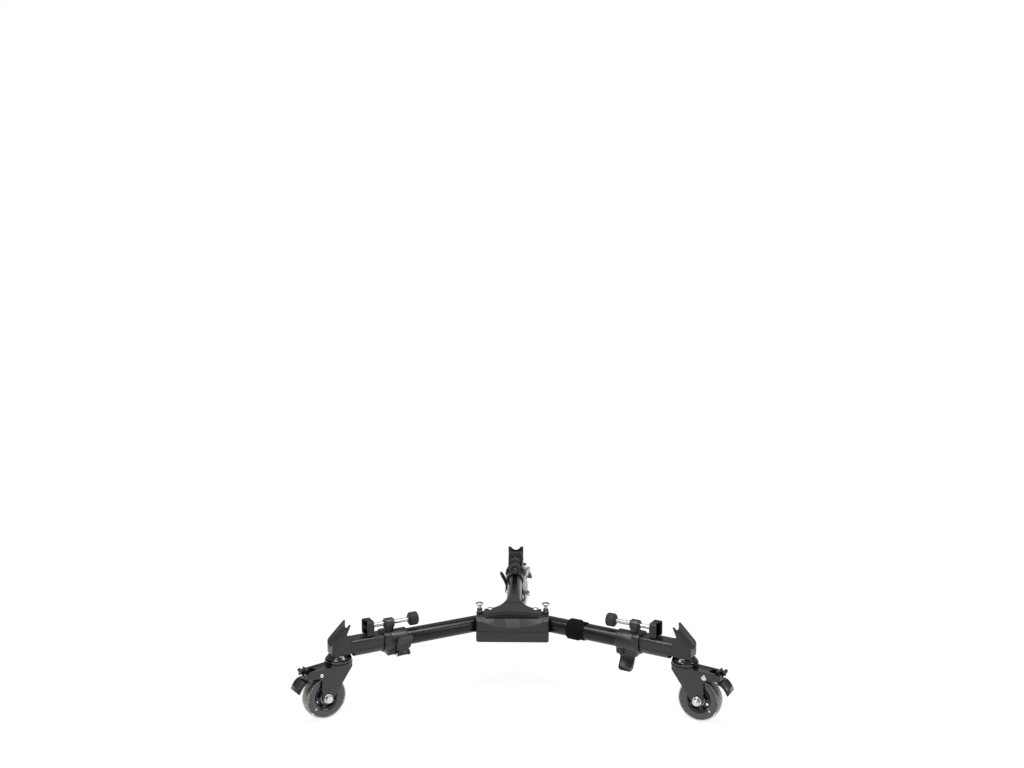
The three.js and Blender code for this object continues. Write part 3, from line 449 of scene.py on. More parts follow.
def end_finish(material, tree, shader):
    add(tree, "ShaderNodeOutputMaterial", {"Surface": shader.outputs[0]})
    return material


def grained(name, colour_name, grain, grain_depth, rough, rough_spread, patch, patch_mix, stretch=(1, 1, 1),
            **shader):
    """A surface with a fine grain of a real size, and broad patches where it is worn or handled.

    grain, grain_depth and patch are sizes in millimetres; rough and rough_spread give the roughness and
    how far it wanders; patch_mix is how much the patches lighten the colour; stretch draws the grain out
    along an axis of the piece.
    """
    base = tuple(getattr(bpy.context.scene.dolly_colours, colour_name))
    grain, grain_depth, patch = mm(grain, grain_depth, patch)
    material, tree = start_finish(name)
    place = add(tree, "ShaderNodeAttribute", attribute_name="own_place", attribute_type="GEOMETRY")
    drawn = add(tree, "ShaderNodeMapping", {0: place.outputs["Vector"], "Scale": stretch})
    fine = add(tree, "ShaderNodeTexNoise", {"Vector": drawn.outputs[0], "Scale": 1 / grain, "Detail": 3.0,
                                            "Roughness": 0.55})
    broad = add(tree, "ShaderNodeTexNoise", {"Vector": place.outputs["Vector"], "Scale": 1 / patch,
                                             "Detail": 4.0, "Roughness": 0.6})
    worn = add(tree, "ShaderNodeMapRange", {"Value": broad.outputs["Fac"], "From Min": 0.35, "From Max": 0.75,
                                            "To Min": 0.0, "To Max": patch_mix})
    lighter = tuple(min(1.0, c * 1.9 + 0.012) for c in base[:3]) + (1.0,)
    tone = add(tree, "ShaderNodeMix", data_type="RGBA")
    tree.links.new(worn.outputs[0], tone.inputs[0])
    tone.inputs[6].default_value = base
    tone.inputs[7].default_value = lighter
    rough_map = add(tree, "ShaderNodeMapRange", {"Value": broad.outputs["Fac"],
                                                 "From Min": 0.3, "From Max": 0.7,
                                                 "To Min": rough - rough_spread,
                                                 "To Max": rough + rough_spread})
    bump = add(tree, "ShaderNodeBump", {"Height": fine.outputs["Fac"], "Strength": 1.0,
                                        "Distance": grain_depth})
    surface = add(tree, "ShaderNodeBsdfPrincipled", {"Base Color": tone.outputs[2],
                                                     "Roughness": rough_map.outputs[0],
                                                     "Normal": bump.outputs[0], **shader})
    return end_finish(material, tree, surface)


def glass_filled_nylon():
    """Nylon with glass fibre, from a spark-eroded mould: an even matt grain of about 0.5 mm"""
    return grained("glass_filled_nylon", "nylon", 0.5, 0.05, 0.52, 0.06, 38, 0.10, IOR=1.53)


def black_anodised_aluminium():
    """Drawn tube, anodised black: fine lines along the tube, 0.6 mm apart, and a soft metal gloss"""
    return grained("black_anodised_aluminium", "anodised", 0.6, 0.012, 0.27, 0.04, 60, 0.10,
                   stretch=(0.01, 1, 1), Metallic=0.35)


def charcoal_powder_coat():
    """Baked powder: the low orange peel of melted grains, about 1 mm across, with a satin sheen"""
    return grained("charcoal_powder_coat", "coat", 1.1, 0.05, 0.36, 0.05, 30, 0.14, IOR=1.5)


def satin_moulding():
    """Moulded lever: smooth satin nylon with handling marks"""
    return grained("satin_moulding", "lever", 0.7, 0.02, 0.36, 0.06, 14, 0.16, IOR=1.53)


def gloss_lacquer():
    """Pressed steel under gloss lacquer: long soft waves of the press show in its reflections"""
    return grained("gloss_lacquer", "lacquer", 5, 0.05, 0.17, 0.04, 22, 0.08,
                   **{"IOR": 1.5, "Coat Weight": 0.4, "Coat Roughness": 0.08})


def zinc_plate():
    """Bright zinc plate: blue-white, faintly clouded"""
    return grained("zinc_plate", "zinc", 0.8, 0.01, 0.26, 0.07, 5, 0.0, Metallic=1.0)


def warm_nickel_plate():
    """Nickel plate with a warm tint and a satin polish"""
    return grained("warm_nickel_plate", "nickel", 0.8, 0.006, 0.3, 0.04, 6, 0.0, Metallic=1.0)


def moulded_rubber():
    """Moulded rubber: dull, with a fine bloom"""
    return grained("moulded_rubber", "rubber", 0.6, 0.04, 0.62, 0.08, 9, 0.2, IOR=1.52)


def wheel_core_plastic():
    """Polypropylene core: smooth, low gloss"""
    return grained("wheel_core_plastic", "core", 0.8, 0.02, 0.34, 0.05, 9, 0.1, IOR=1.49)


def smoky_polyurethane():
    """Cast polyurethane over a dark core: wet-looking gloss with a blue-black depth"""
    return grained("smoky_polyurethane", "disc", 7, 0.04, 0.1, 0.03, 16, 0.3,
                   **{"IOR": 1.5, "Coat Weight": 1.0, "Coat Roughness": 0.04})


def clear_polyurethane():
    """Clear cast polyurethane tread, yellowed a little: dark over its bed, and pale at the rim"""
    return grained("clear_polyurethane", "tread", 3, 0.01, 0.12, 0.02, 12, 0.0,
                   **{"IOR": 1.42, "Transmission Weight": 0.88, "Coat Weight": 0.3, "Coat Roughness": 0.05})


def hook_and_loop():
    """Woven band with a nap of loops: tufts about 1.2 mm across that soak up the light"""
    return grained("hook_and_loop", "strap", 1.2, 0.5, 0.95, 0.05, 8, 0.1, **{"Specular IOR Level": 0.12})


# Hub

def hub_outline(sizes, inset):
    """The hub from above: a box in front, drawn in by two curves to its apex"""
    half, front, apex = sizes.half_width - inset, HUB_FRONT, sizes.apex - inset
    corner, back, back_round = mm(6, 24, 9)
    near = (sizes.half_width * 0.44 - inset, apex * 0.1 - back)
    far = (sizes.half_width * 0.3 - inset, 0)
    end = (sizes.half_width * 0.15 - inset, apex * 0.87)
    right = (arc(corner, -90, 0, 8, half - corner, corner - front)
             + arc(back_round, 0, 90, 8, half - back_round, -back - back_round)
             + bend([(half - back_round, -back), near, far, end], 22)[1:]
             + bend([end, (end[0], apex), (0, apex)], 7)[1:])
    left = [(-x, y) for x, y in reversed(right[:-1])]
    return right + left


def slot_curve(sizes, grow, steps):
    """The finger slot's curved rear side"""
    front = sizes.bar - HUB_FRONT
    end, crown = front + 4 * MM + grow, front + 35 * MM + grow
    return bend([(sizes.slot_half, end), (0, crown), (-sizes.slot_half, end)], steps)


def front_pivot(side, reach):
    """A place on a front leg's line by its distance from the middle; side is -1 for left, 1 for right"""
    angle = math.radians(LEG_TURN["right"])
    return side * reach * math.cos(angle), reach * math.sin(angle), 0


def front_pivots(reach):
    """Places on both front legs by their distance from the middle"""
    return {name: Matrix.Translation(MIDDLE + Vector(front_pivot(side, reach)))
            for name, side in (("left", -1), ("right", 1))}


def fold_space(side):
    """The space that a folding tube and its tail sweep in the hub, as an outline"""
    radius, tail, far = mm(15.6, 19.81, 136)
    start, end = -30.0, 75.0
    cx, cy, _ = front_pivot(1, PIVOT_REACH)

    def off(angle, reach_angle, reach):
        a, b = math.radians(angle), math.radians(reach_angle)
        return (cx + radius * math.cos(a) + reach * math.cos(b),
                cy + radius * math.sin(a) + reach * math.sin(b))

    points = [off(start - 90, 0, 0), off(start - 90, start, far)] + arc(far, start, end, 10, cx, cy)
    points += [off(end + 90, end, far), off(end + 90, 0, 0)] + arc(tail, end + 90, start + 270, 14, cx, cy)
    return [(side * x, y) for x, y in points]


def rounded_floor(shell, radius):
    """Round the edge round a shell's underside"""
    pick(shell)
    bpy.ops.object.mode_set(mode="EDIT")
    bpy.ops.mesh.select_all(action="DESELECT")
    bpy.ops.object.mode_set(mode="OBJECT")
    for face in shell.data.polygons:
        face.select = face.normal.z < -0.9
    bpy.ops.object.mode_set(mode="EDIT")
    bpy.ops.mesh.region_to_loop()
    bpy.ops.mesh.bevel(offset=radius, segments=4, affect="EDGES", clamp_overlap=True)
    bpy.ops.object.mode_set(mode="OBJECT")
    return shell


def raised_plate(sizes):
    """The plate on the shoulder, kept behind the finger slot"""
    half, margin, overlap = mm(54, 2, 1)
    raised = plate("raised", hub_outline(sizes, margin), sizes.shoulder - overlap, sizes.top)
    slot = slot_curve(sizes, margin, 20)
    outline = [(half, slot[0][1])] + slot + [(-half, slot[-1][1]), (-half, 0.1), (half, 0.1)]
    return common(raised, plate("behind", outline, sizes.shoulder - margin, sizes.top + overlap))


def handle_grip(sizes, slot_front):
    """What is cut away over the handle: its front edge sags, its rear edge stays straight"""
    beyond, crest_half, crest_side, crest_pull, rear, rise, blend = mm(80, 58, 128.6, 102.6, 130.6, 3.6, 9)
    roof, over = mm(149, 5)
    crest = bend([(crest_half, crest_side), (0, crest_pull), (-crest_half, crest_side)], 44)
    outline = [(beyond, crest_side)] + crest + [(-beyond, crest_side), (-beyond, roof), (beyond, roof)]
    grip = plate("grip", outline, -HUB_FRONT - over, slot_front + MM, "Y")
    for corner in grip.data.vertices:
        if corner.co.z < roof - over:
            beside = min(1, max(0, (abs(corner.co.x) - sizes.slot_half) / blend))
            rear_edge = rear + rise * beside
            corner.co.z += (rear_edge - corner.co.z) * (corner.co.y + HUB_FRONT) / sizes.bar
    return grip


class DOLLY_OT_hub(bpy.types.Operator):
    """Hub halves: a moulded box with a carry handle, drawn in to an apex over the rear leg"""
    bl_idname = "dolly.hub"
    bl_label = "Hub"

    def execute(self, context):
        sizes = context.scene.dolly_hub
        slot_front = sizes.bar - HUB_FRONT
        shell = rounded_floor(plate("hub", hub_outline(sizes, 0), sizes.bottom, sizes.shoulder), 2.6 * MM)
        weld(shell, raised_plate(sizes))
        low, high = sizes.bottom - 5 * MM, sizes.top + 12 * MM
        slot = [(-sizes.slot_half, slot_front), (sizes.slot_half, slot_front)] + slot_curve(sizes, 0, 28)
        cut(shell, plate("slot", slot, low, high), handle_grip(sizes, slot_front))
        round_edges(shell, sizes.edge, 3, 28)
        label, label_depth = table((-27, -9), (27, -9), (17.5, 15), (-17.5, 15)), 0.8 * MM
        cut(shell, plate("label", label, sizes.top - label_depth, high))
        middle, sweep, tail = context.scene.dolly_legs.axis_height, *mm(15.6, 19.9)
        seat, recess, recess_depth = mm(5.3, 8.1, 6)
        for side in (-1, 1):
            pivot, plunger = front_pivot(side, PIVOT_REACH), front_pivot(side, PLUNGER_REACH)
            cut(shell, plate("sweep", fold_space(side), middle - sweep, middle + sweep),
                cylinder("tail", tail, middle - sweep, middle + sweep, at=pivot, sides=64),
                cylinder("well", PIVOT_HOLE, low, high, at=pivot, sides=32),
                cylinder("seat", seat, middle, high, at=plunger, sides=32),
                cylinder("recess", recess, low, sizes.bottom + recess_depth, at=pivot, sides=6))
        bore = cylinder("bore", TUBE_CLEAR, *mm(-18.3, 80), sides=64)
        cut(shell, place_in_mesh(bore, Matrix.Translation((0, 0, middle)) @ AXES["Y"]))
        wide, gap = mm(200, 0.5)
        finish = glass_filled_nylon()
        for name, floor, roof in (("hub_bottom", low, sizes.seam - 0.2 * MM),
                                  ("hub_top", sizes.seam + gap, high)):
            pick(shell)
            bpy.ops.object.duplicate()
            half = common(bpy.context.object, block("half", (-wide, -wide, floor), (wide, wide, roof)))
            install(smooth(half), f"moulded_{name}", Matrix.Translation(MIDDLE), name, "hub", "black_nylon",
                    finish)
        bpy.data.objects.remove(shell)
        return {"FINISHED"}


class DOLLY_OT_pivot_bolts(bpy.types.Operator):
    """Pivot bolts of the front legs: domed head with a hexagon socket, shank and nut"""
    bl_idname = "dolly.pivot_bolts"
    bl_label = "Pivot bolts"

    def execute(self, context):
        head = turned("pivot_bolt", table((4, 88.5), (4, 138.4), (5.6, 138.4), (5.7, 139.1), (5.3, 140),
                                          (4.6, 140.6), (3.6, 141)), sides=48)
        cut(head, plate("socket", polygon(6, 4.5 * MM), 139.3 * MM, 143 * MM))
        nut = plate("nut", polygon(6, 13 * MM), 88.4 * MM, 93.6 * MM)
        common(nut, turned("chamfer", table((6.6, 88.4), (7.6, 89.2), (7.6, 92.8), (6.6, 93.6)), sides=48))
        weld(head, nut)
        round_edges(head, 0.25 * MM, 2, 40)
        set_out(head, front_pivots(PIVOT_REACH), "{}_pivot_bolt", "hub", "zinc_steel", zinc_plate())
        return {"FINISHED"}


class DOLLY_OT_plungers(bpy.types.Operator):
    """Pull plungers: a threaded barrel in the hub, and a pin with a mushroom knob"""
    bl_idname = "dolly.plungers"
    bl_label = "Plungers"

    def execute(self, context):
        rings = [(3.2, 131.3), (5, 131.3), (5, 134.4), (6.4, 134.4), (6.5, 134.6), (6.5, 136.2), (6.2, 136.4),
                 (5, 136.5)]
        for i in range(6):
            z = 136.8 + i
            rings += [(5, z), (4.6, z + 0.35), (4.6, z + 0.5), (5, z + 0.85)]
        rings += [(4.7, 143.1), (3.2, 143.1)]
        barrel = smooth(turned("plunger_barrel", table(*rings), hollow=True, sides=48))
        places = front_pivots(PLUNGER_REACH)
        set_out(barrel, places, "{}_plunger_barrel", "hub", "gloss_black_steel", gloss_lacquer())
        pin = turned("plunger_pin", table(
            (2.4, 130.4), (2.9, 130.9), (2.9, 148.3), (4.4, 148.45), (4.6, 148.8), (4.4, 149.2),
            (3.3, 149.6), (3.1, 150.5), (3.5, 151.3), (5.6, 151.7), (7.2, 152.1), (7.65, 152.6),
            (7.65, 153.2), (7.1, 153.8), (5.4, 154.7), (3, 155.3), (1, 155.4)), sides=48)
        smooth(pin, 50)
        set_out(pin, places, "{}_plunger_pin", "{}_plunger", "nickel_steel", warm_nickel_plate())
        return {"FINISHED"}


# Legs, modelled round the tube's axis

class DOLLY_OT_tubes(bpy.types.Operator):
    """Inner tubes: drawn tube with a groove along its top; the front two are drilled for bolt and plunger"""
    bl_idname = "dolly.tubes"
    bl_label = "Inner tubes"

    def execute(self, context):
        sizes = context.scene.dolly_legs
        finish = black_anodised_aluminium()
        for sides, body, start in ((("left", "right"), "{}_leg", 38 * MM), (("rear",), "hub", -18 * MM)):
            outer, inner, end = sizes.tube_radius, sizes.tube_radius - sizes.tube_wall, 296 * MM
            tube = turned("inner_tube", [(inner, start), (outer - 0.3 * MM, start), (outer, start + 0.3 * MM),
                                         (outer, end - 0.3 * MM), (outer - 0.3 * MM, end), (inner, end)],
                          "X", sides=96, hollow=True)
            half = sizes.groove_width / 2
            cut(tube, block("groove", (start - PAST, -half, outer - sizes.groove_depth),
                            (end + PAST, half, outer + PAST)))
            if "left" in sides:
                detent, deep = mm(3.2, 30)
                cut(tube, cylinder("hole", PIVOT_HOLE, -deep, deep, at=(PIVOT_REACH, 0, 0), sides=32),
                    cylinder("detent", detent, 0, deep, at=(PLUNGER_REACH, 0, 0), sides=32))
            round_edges(tube, 0.25 * MM, 2, 40)
            set_out(tube, on_legs(sides), "{}_inner_tube", body, "anodised_tube", finish)
        return {"FINISHED"}


class DOLLY_OT_strap(bpy.types.Operator):
    """Hook-and-loop band wound round the right tube, with its tail lapped under"""
    bl_idname = "dolly.strap"
    bl_label = "Strap"

    def execute(self, context):
        band = turned("strap_band", table(
            (15.3, 123.8), (17.9, 123.6), (18.6, 124.4), (19.1, 125.9), (18.8, 129.5), (19.1, 134),
            (18.9, 139.5), (19.1, 144), (18.5, 145.5), (17.4, 145.9), (16.9, 146.4), (17.05, 148),
            (16.9, 152), (17.05, 156), (16.5, 157.6), (15.3, 157.8)), "X", sides=96, hollow=True)
        lap_outer, lap_inner, lap_start, lap_end = mm(19.2, 18.2, 125.5, 144)
        lap = arc(lap_outer, -70, 62, 24) + arc(lap_inner, 62, -70, 24)
        weld(band, plate("lap", lap, lap_start, lap_end, "X"))
        round_edges(band, 0.35 * MM, 2, 45)
        set_out(band, on_legs(("right",)), "strap", "{}_leg", "hook_strap", hook_and_loop())
        return {"FINISHED"}


def section_outline(grow):
    """A section's outline let out all round, in metres: round under, flat on top, upright sides"""
    side, low, high, corner = mm(17 + grow, 16.5 + grow, 16 + grow, 5 + grow)
    under = [(side * x, low * z) for x, z in arc(1, -180, 0, 40)]
    return (under + arc(corner, 0, 90, 8, side - corner, high - corner)
            + arc(corner, 90, 180, 8, corner - side, high - corner))


class DOLLY_OT_sections(bpy.types.Operator):
    """Telescoping sections: an extrusion with a flat top, a key inside and a groove down each side"""
    bl_idname = "dolly.sections"
    bl_label = "Sections"

    def execute(self, context):
        sizes = context.scene.dolly_legs
        start, end, over = sizes.section_start, sizes.section_end, 5 * MM
        section = plate("section", section_outline(0), start, end, "X")
        key_half, key_low, key_high, wide = mm(4.7, 14.1, 25, 50)
        flat, flat_end, relief, relief_length = mm(15.7, 302.5, -6.7, 8)
        groove_side, groove_low, groove_high = mm(16.2, -3.2, 0.2)
        bore = cylinder("bore", TUBE_CLEAR, start - over, end + over, "X", sides=96)
        cut(bore, block("key", (start - 2 * over, -key_half, key_low), (end + 2 * over, key_half, key_high)))
        cut(section, bore, block("flat", (start - over, -wide, flat), (flat_end, wide, wide)),
            block("relief", (end - relief_length, -wide, -wide), (end + over, wide, relief)),
            block("groove", (start - over, -key_high, groove_low), (end + over, -groove_side, groove_high)),
            block("groove", (start - over, groove_side, groove_low), (end + over, key_high, groove_high)))
        round_edges(section, 0.35 * MM, 2, 30)
        set_out(section, on_legs(), "{}_outer_section", "{}_section", "charcoal_section",
                charcoal_powder_coat())
        return {"FINISHED"}


class DOLLY_OT_collars(bpy.types.Operator):
    """Lock collars: a split ring with a lug under it, the lug's two ears and the head of its bolt"""
    bl_idname = "dolly.collars"
    bl_label = "Lock collars"

    def execute(self, context):
        sizes = context.scene.dolly_legs
        start, end = sizes.collar_start, sizes.collar_end
        x, y, z = LEVER_AXIS
        rings = [(17, 0), (17.6, 0.6), (18.2, 1.4), (18.2, -0.7), (17.7, 0)]
        collar = turned("collar", [(radius * MM, edge + along * MM) for (radius, along), edge
                                   in zip(rings, (start, start, start, end, end))], "X", sides=96)
        low, inner, outer = mm(-24.5, -10, 11.5)
        side = [(start, -13 * MM), (start, low + 4 * MM), (start + 2 * MM, low), (end, low), (end, -12 * MM),
                (start, -12 * MM)]
        lug = plate("lug", side, inner, outer, "Y")
        eye, root = 4.7 * MM, outer - 5 * MM
        ear = [(root, z - eye)] + arc(eye, -90, 90, 12, y, z) + [(root, z + eye)]
        ears = [plate("ear", ear, x + a * MM, x + b * MM, "X") for a, b in ((-12, -8.6), (8.6, 12))]
        head = turned("bolt_head", table((4.5, -9), (4.5, -12.4), (4, -13)), "Y", (x, 0, z), 32)
        cut(head, plate("socket", [(x + a, z + b) for a, b in polygon(6, 4 * MM)], -15 * MM, -11.4 * MM, "Y"))
        weld(collar, lug, *ears, head)
        slit, slit_deep, pin = mm(1, 50, 2.3)
        cut(collar, cylinder("bore", TUBE_CLEAR, start - PAST, end + PAST, "X", sides=96),
            block("slit", (start - PAST, -slit, -slit_deep), (end + PAST, slit, 0)),
            cylinder("pin_hole", pin, x - 2 * PAST, x + 2 * PAST, "X", (0, y, z), 32))
        round_edges(collar, 0.6 * MM, 2, 34)
        set_out(collar, on_legs(), "{}_lock_collar", "{}_section", "charcoal_casting", charcoal_powder_coat())
        return {"FINISHED"}


class DOLLY_OT_levers(bpy.types.Operator):
    """Flip levers on their pins: a leaf that curves outward to a round tip"""
    bl_idname = "dolly.levers"
    bl_label = "Lock levers"

    def execute(self, context):
        sizes = context.scene.dolly_legs
        width, tall = sizes.lever_width, sizes.lever_length
        spine = bend(table((0, 0), (0.2, 11), (3.2, 21), (9, 29), (14, 37)), 20)
        thick = [(2.2 - 0.7 * i / 20) * MM for i in range(21)]
        bowed = list(zip(spine, thick))
        side, root = width / 2, tall * 0.16
        leaf = plate("lever", [(a + t, b) for (a, b), t in bowed] + [(a - t, b) for (a, b), t in bowed[::-1]],
                     -side, side, "X")
        near, tip, far = mm(5, 6, 9)
        rim = (arc(near, -90, 0, 8, side - near, root + near) + arc(tip, 0, 90, 8, side - tip, tall - tip)
               + arc(tip, 90, 180, 8, tip - side, tall - tip) + arc(far, 180, 270, 8, far - side, root + far))
        rim_plate = plate("rim", rim, -30 * MM, 30 * MM, "Y")
        weld(rim_plate, block("neck", mm(-8.2, -30, -1), mm(8.2, 30, 9)))
        common(leaf, rim_plate)
        weld(leaf, cylinder("barrel", *mm(4.2, -8.2, 8.2), "X", sides=40))
        cut(leaf, cylinder("bore", *mm(2.3, -30, 30), "X", sides=32))
        border, low, high, corner, past = mm(4, 13, 32, 6, 30)
        hollow = plate("hollow", rounded_rectangle(border - side, low, side - border, high, corner), -past,
                       past, "Y")
        above, depth = mm(12, 0.5)
        shell = plate("shell", [(a + above, b) for a, b in spine] + [(a + t - depth, b) for (a, b), t
                                                                     in bowed[::-1]], -width, width, "X")
        cut(leaf, common(hollow, shell))
        round_edges(leaf, 0.6 * MM, 2, 38)
        pins = {side: place @ Matrix.Translation(LEVER_AXIS) for side, place in on_legs().items()}
        places = {side: place @ Matrix.Rotation(math.radians(LEVER_TURN[side]), 4, "X")
                  for side, place in pins.items()}
        set_out(leaf, places, "{}_lock_lever", "{}_lever", "black_lever", satin_moulding())
        pin = turned("lever_pin", both_ways((2.2, -13.4), (3.2, -13), (3.2, -12.3), (2, -12.3)), "X",
                     sides=32)
        set_out(smooth(pin), pins, "{}_lever_pin", "{}_section", "zinc_steel", zinc_plate())
        return {"FINISHED"}


# Foot clamps, modelled round the tube's axis

class DOLLY_OT_foot_posts(bpy.types.Operator):
    """Foot posts: a ring on the section, a post with a gusset and a chamfered head for the foot screw"""
    bl_idname = "dolly.foot_posts"
    bl_label = "Foot posts"

    def execute(self, context):
        screw = context.scene.dolly_clamps.screw_rise
        start, end = mm(256.4, 270)
        ring = plate("foot_post", section_outline(2.7), start, end, "X")
        curve = arc(12 * MM, -90, -180, 10, 274 * MM, 28.6 * MM)
        web = plate("web", [(257 * MM, 16.4 * MM), (274 * MM, 16.4 * MM)] + curve + [(257 * MM, 28.6 * MM)],
                    -5 * MM, 5 * MM, "Y")
        w, h, c = mm(8.5, 7.5, 3)
        low, high = screw - h, screw + h
        head = plate("head", [(c - w, low), (w - c, low), (w, low + c), (w, high - c), (w - c, high),
                              (c - w, high), (-w, high - c), (-w, low + c)], *mm(247.5, 263.5), "X")
        weld(ring, block("lug", mm(256.4, -10, -24.5), mm(262.4, 11.5, -14)),
             block("foot", mm(256.4, -7, 16.7), (262 * MM, 7 * MM, screw)),
             block("neck", mm(249, -7, 18.8), (262 * MM, 7 * MM, screw)), web, head,
             turned("boss", table((6, 255), (6, 266), (5.6, 266.5)), "X", (0, 0, screw), 40))
        cut(ring, plate("bore", section_outline(0.3), start - PAST, end + 3 * PAST, "X"),
            cylinder("thread_hole", *mm(4.1, 240, 280), "X", (0, 0, screw), 40))
        round_edges(ring, 0.7 * MM, 2, 34)
        set_out(ring, on_legs(), "{}_foot_post", "{}_section", "charcoal_casting", charcoal_powder_coat())
        return {"FINISHED"}


class DOLLY_OT_foot_screws(bpy.types.Operator):
    """Foot screws: a threaded rod, a ridged knob on its inner end and a rubber jaw on its outer end"""
    bl_idname = "dolly.foot_screws"
    bl_label = "Foot screws"

    def execute(self, context):
        sizes = context.scene.dolly_clamps
        crest, pitch, rise = sizes.screw_radius, sizes.screw_pitch, sizes.screw_rise
        start, end = mm(203.9, 290.9)
        root = crest - 0.12 * MM
        deselect()
        bpy.ops.mesh.primitive_circle_add(vertices=3, radius=1, fill_type="NOTHING")
        rod = bpy.context.object
        rod.name = "clamp_screw"
        thread = [(crest, 0.0), (root, pitch * 0.36), (root, pitch * 0.64)]
        for corner, (radius, along) in zip(rod.data.vertices, thread):
            corner.co = (radius, 0, along)
        for edge in rod.data.edges:
            edge.select = set(edge.vertices) == {0, 2}
        for corner in rod.data.vertices:
            corner.select = corner.index in (0, 2)
        bpy.ops.object.mode_set(mode="EDIT")
        bpy.ops.mesh.delete(type="EDGE")
        bpy.ops.mesh.select_all(action="DESELECT")
        bpy.ops.object.mode_set(mode="OBJECT")
        rod.data.vertices[2].select = True
        bpy.ops.object.mode_set(mode="EDIT")
        bpy.ops.mesh.extrude_vertices_move(TRANSFORM_OT_translate={"value": (crest - root, 0, pitch * 0.36)})
        bpy.ops.object.mode_set(mode="OBJECT")
        turns = int((end - start) / pitch) - 1
        modify(rod, "SCREW", axis="Z", angle=2 * math.pi, screw_offset=pitch, iterations=turns, steps=20,
               render_steps=20, use_merge_vertices=True, merge_threshold=1e-6, use_normal_calculate=True)
        tidy_normals(rod)
        place_in_mesh(rod, Matrix.Translation((start + pitch / 2, 0, rise)) @ AXES["X"])
        spindle = turned("spindle", [(root - 0.2 * MM, start), (root + 0.02 * MM, start + 0.5 * MM),
                                     (root + 0.02 * MM, end - 0.5 * MM), (root - 0.2 * MM, end)], "X",
                         (0, 0, rise), 32)
        pick(rod)
        spindle.select_set(True)
        bpy.ops.object.join()
        smooth(rod, 40)
        set_out(rod, on_legs(), "{}_clamp_screw", "{}_screw", "nickel_steel", warm_nickel_plate())

        ridges, radius = sizes.knob_ridges, sizes.knob_radius
        outline = []
        for i in range(ridges):
            middle = 360 * i / ridges
            step = 360 / ridges
            outline += arc(radius, middle - step * 0.3, middle + step * 0.3, 3)
            outline += arc(radius - 0.8 * MM, middle + step * 0.42, middle + step * 0.58, 1)
        knob = plate("clamp_knob", [(a, b + rise) for a, b in outline], 200.3 * MM, 216.3 * MM, "X")
        dome = turned("dome", table((8.6, 200.3), (10.4, 200.8), (11.6, 202), (12.05, 203.4), (12.05, 213.4),
                                    (11.6, 215), (10.2, 216.3)), "X", (0, 0, rise), 96)
        common(knob, dome)
        cut(knob, turned("dish", table((7.2, 190), (7.2, 201.2), (6.6, 201.6)), "X", (0, 0, rise), 64),
            cylinder("eye", *mm(2.6, 190, 203.4), "X", (0, 0, rise), 32))
        weld(knob, turned("neck", table((7, 214), (7, 217.9), (6.4, 218.3)), "X", (0, 0, rise), 48))
        cut(knob, cylinder("bore", *mm(4.05, 203.4, 225), "X", (0, 0, rise), 40))
        round_edges(knob, 0.3 * MM, 2, 36)
        set_out(knob, on_legs(), "{}_clamp_knob", "{}_screw", "black_rubber", moulded_rubber())

        start, low, high = sizes.jaw_start, 16.4 * MM, 43.9 * MM
        jaw = plate("clamp_jaw", rounded_rectangle(-15 * MM, low, 15 * MM, high, 5 * MM, 6), start,
                    start + 13 * MM, "X")
        hollow, centre, socket, socket_depth = mm(19, 27, 4.1, 3.3)
        face = (start + centre, 0, 0)
        cut(jaw, cylinder("hollow", hollow, low - PAST, high + PAST, at=face),
            cylinder("socket", socket, start - PAST, start + socket_depth, "X", (0, 0, rise), 40))
        for level in (22, 26, 30, 34, 38):
            cut(jaw, cylinder("rib_gap", *mm(19.5, level - 0.5, level + 0.5), at=face))
        round_edges(jaw, 0.9 * MM, 3, 34)
        set_out(jaw, on_legs(), "{}_clamp_jaw", "{}_jaw", "black_rubber", moulded_rubber())
        return {"FINISHED"}


class DOLLY_OT_end_blocks(bpy.types.Operator):
    """End blocks: wedges over the casters, with a round trough down their sloping backs"""
    bl_idname = "dolly.end_blocks"
    bl_label = "End blocks"

    def execute(self, context):
        side = table((333, -5.2), (334.5, -6.7), (364.9, -6.7), (366.4, -5.2), (366.4, 14.3), (335, 45.1),
                     (333, 45.1), (340, 29.5), (334, 21), (333, 21))
        body = plate("end_block", side, -16.7 * MM, 16.7 * MM, "Y")
        plan = rounded_rectangle(*mm(290, -16.7, 366.4, 16.7, 5), 8)
        common(body, plate("plan", plan, *mm(-100, 100)))
        slope = math.atan2(30.8, 31.4)
        trough = cylinder("trough", *mm(20, -50, 100), "X", (0, 0, mm(20 - 4.6)), 96)
        place_in_mesh(trough, Matrix.Translation(mm(335, 0, 45.1)) @ Matrix.Rotation(slope, 4, "Y"))
        cut(body, trough, cylinder("stem_hole", *mm(6.3, -20, 5.3), at=mm(351, 0, 0), sides=40))
        round_edges(body, 0.9 * MM, 3, 34)
        set_out(body, on_legs(), "{}_end_block", "{}_section", "charcoal_casting", charcoal_powder_coat())
        return {"FINISHED"}


# Casters, modelled round the swivel axis with the floor at z = 0

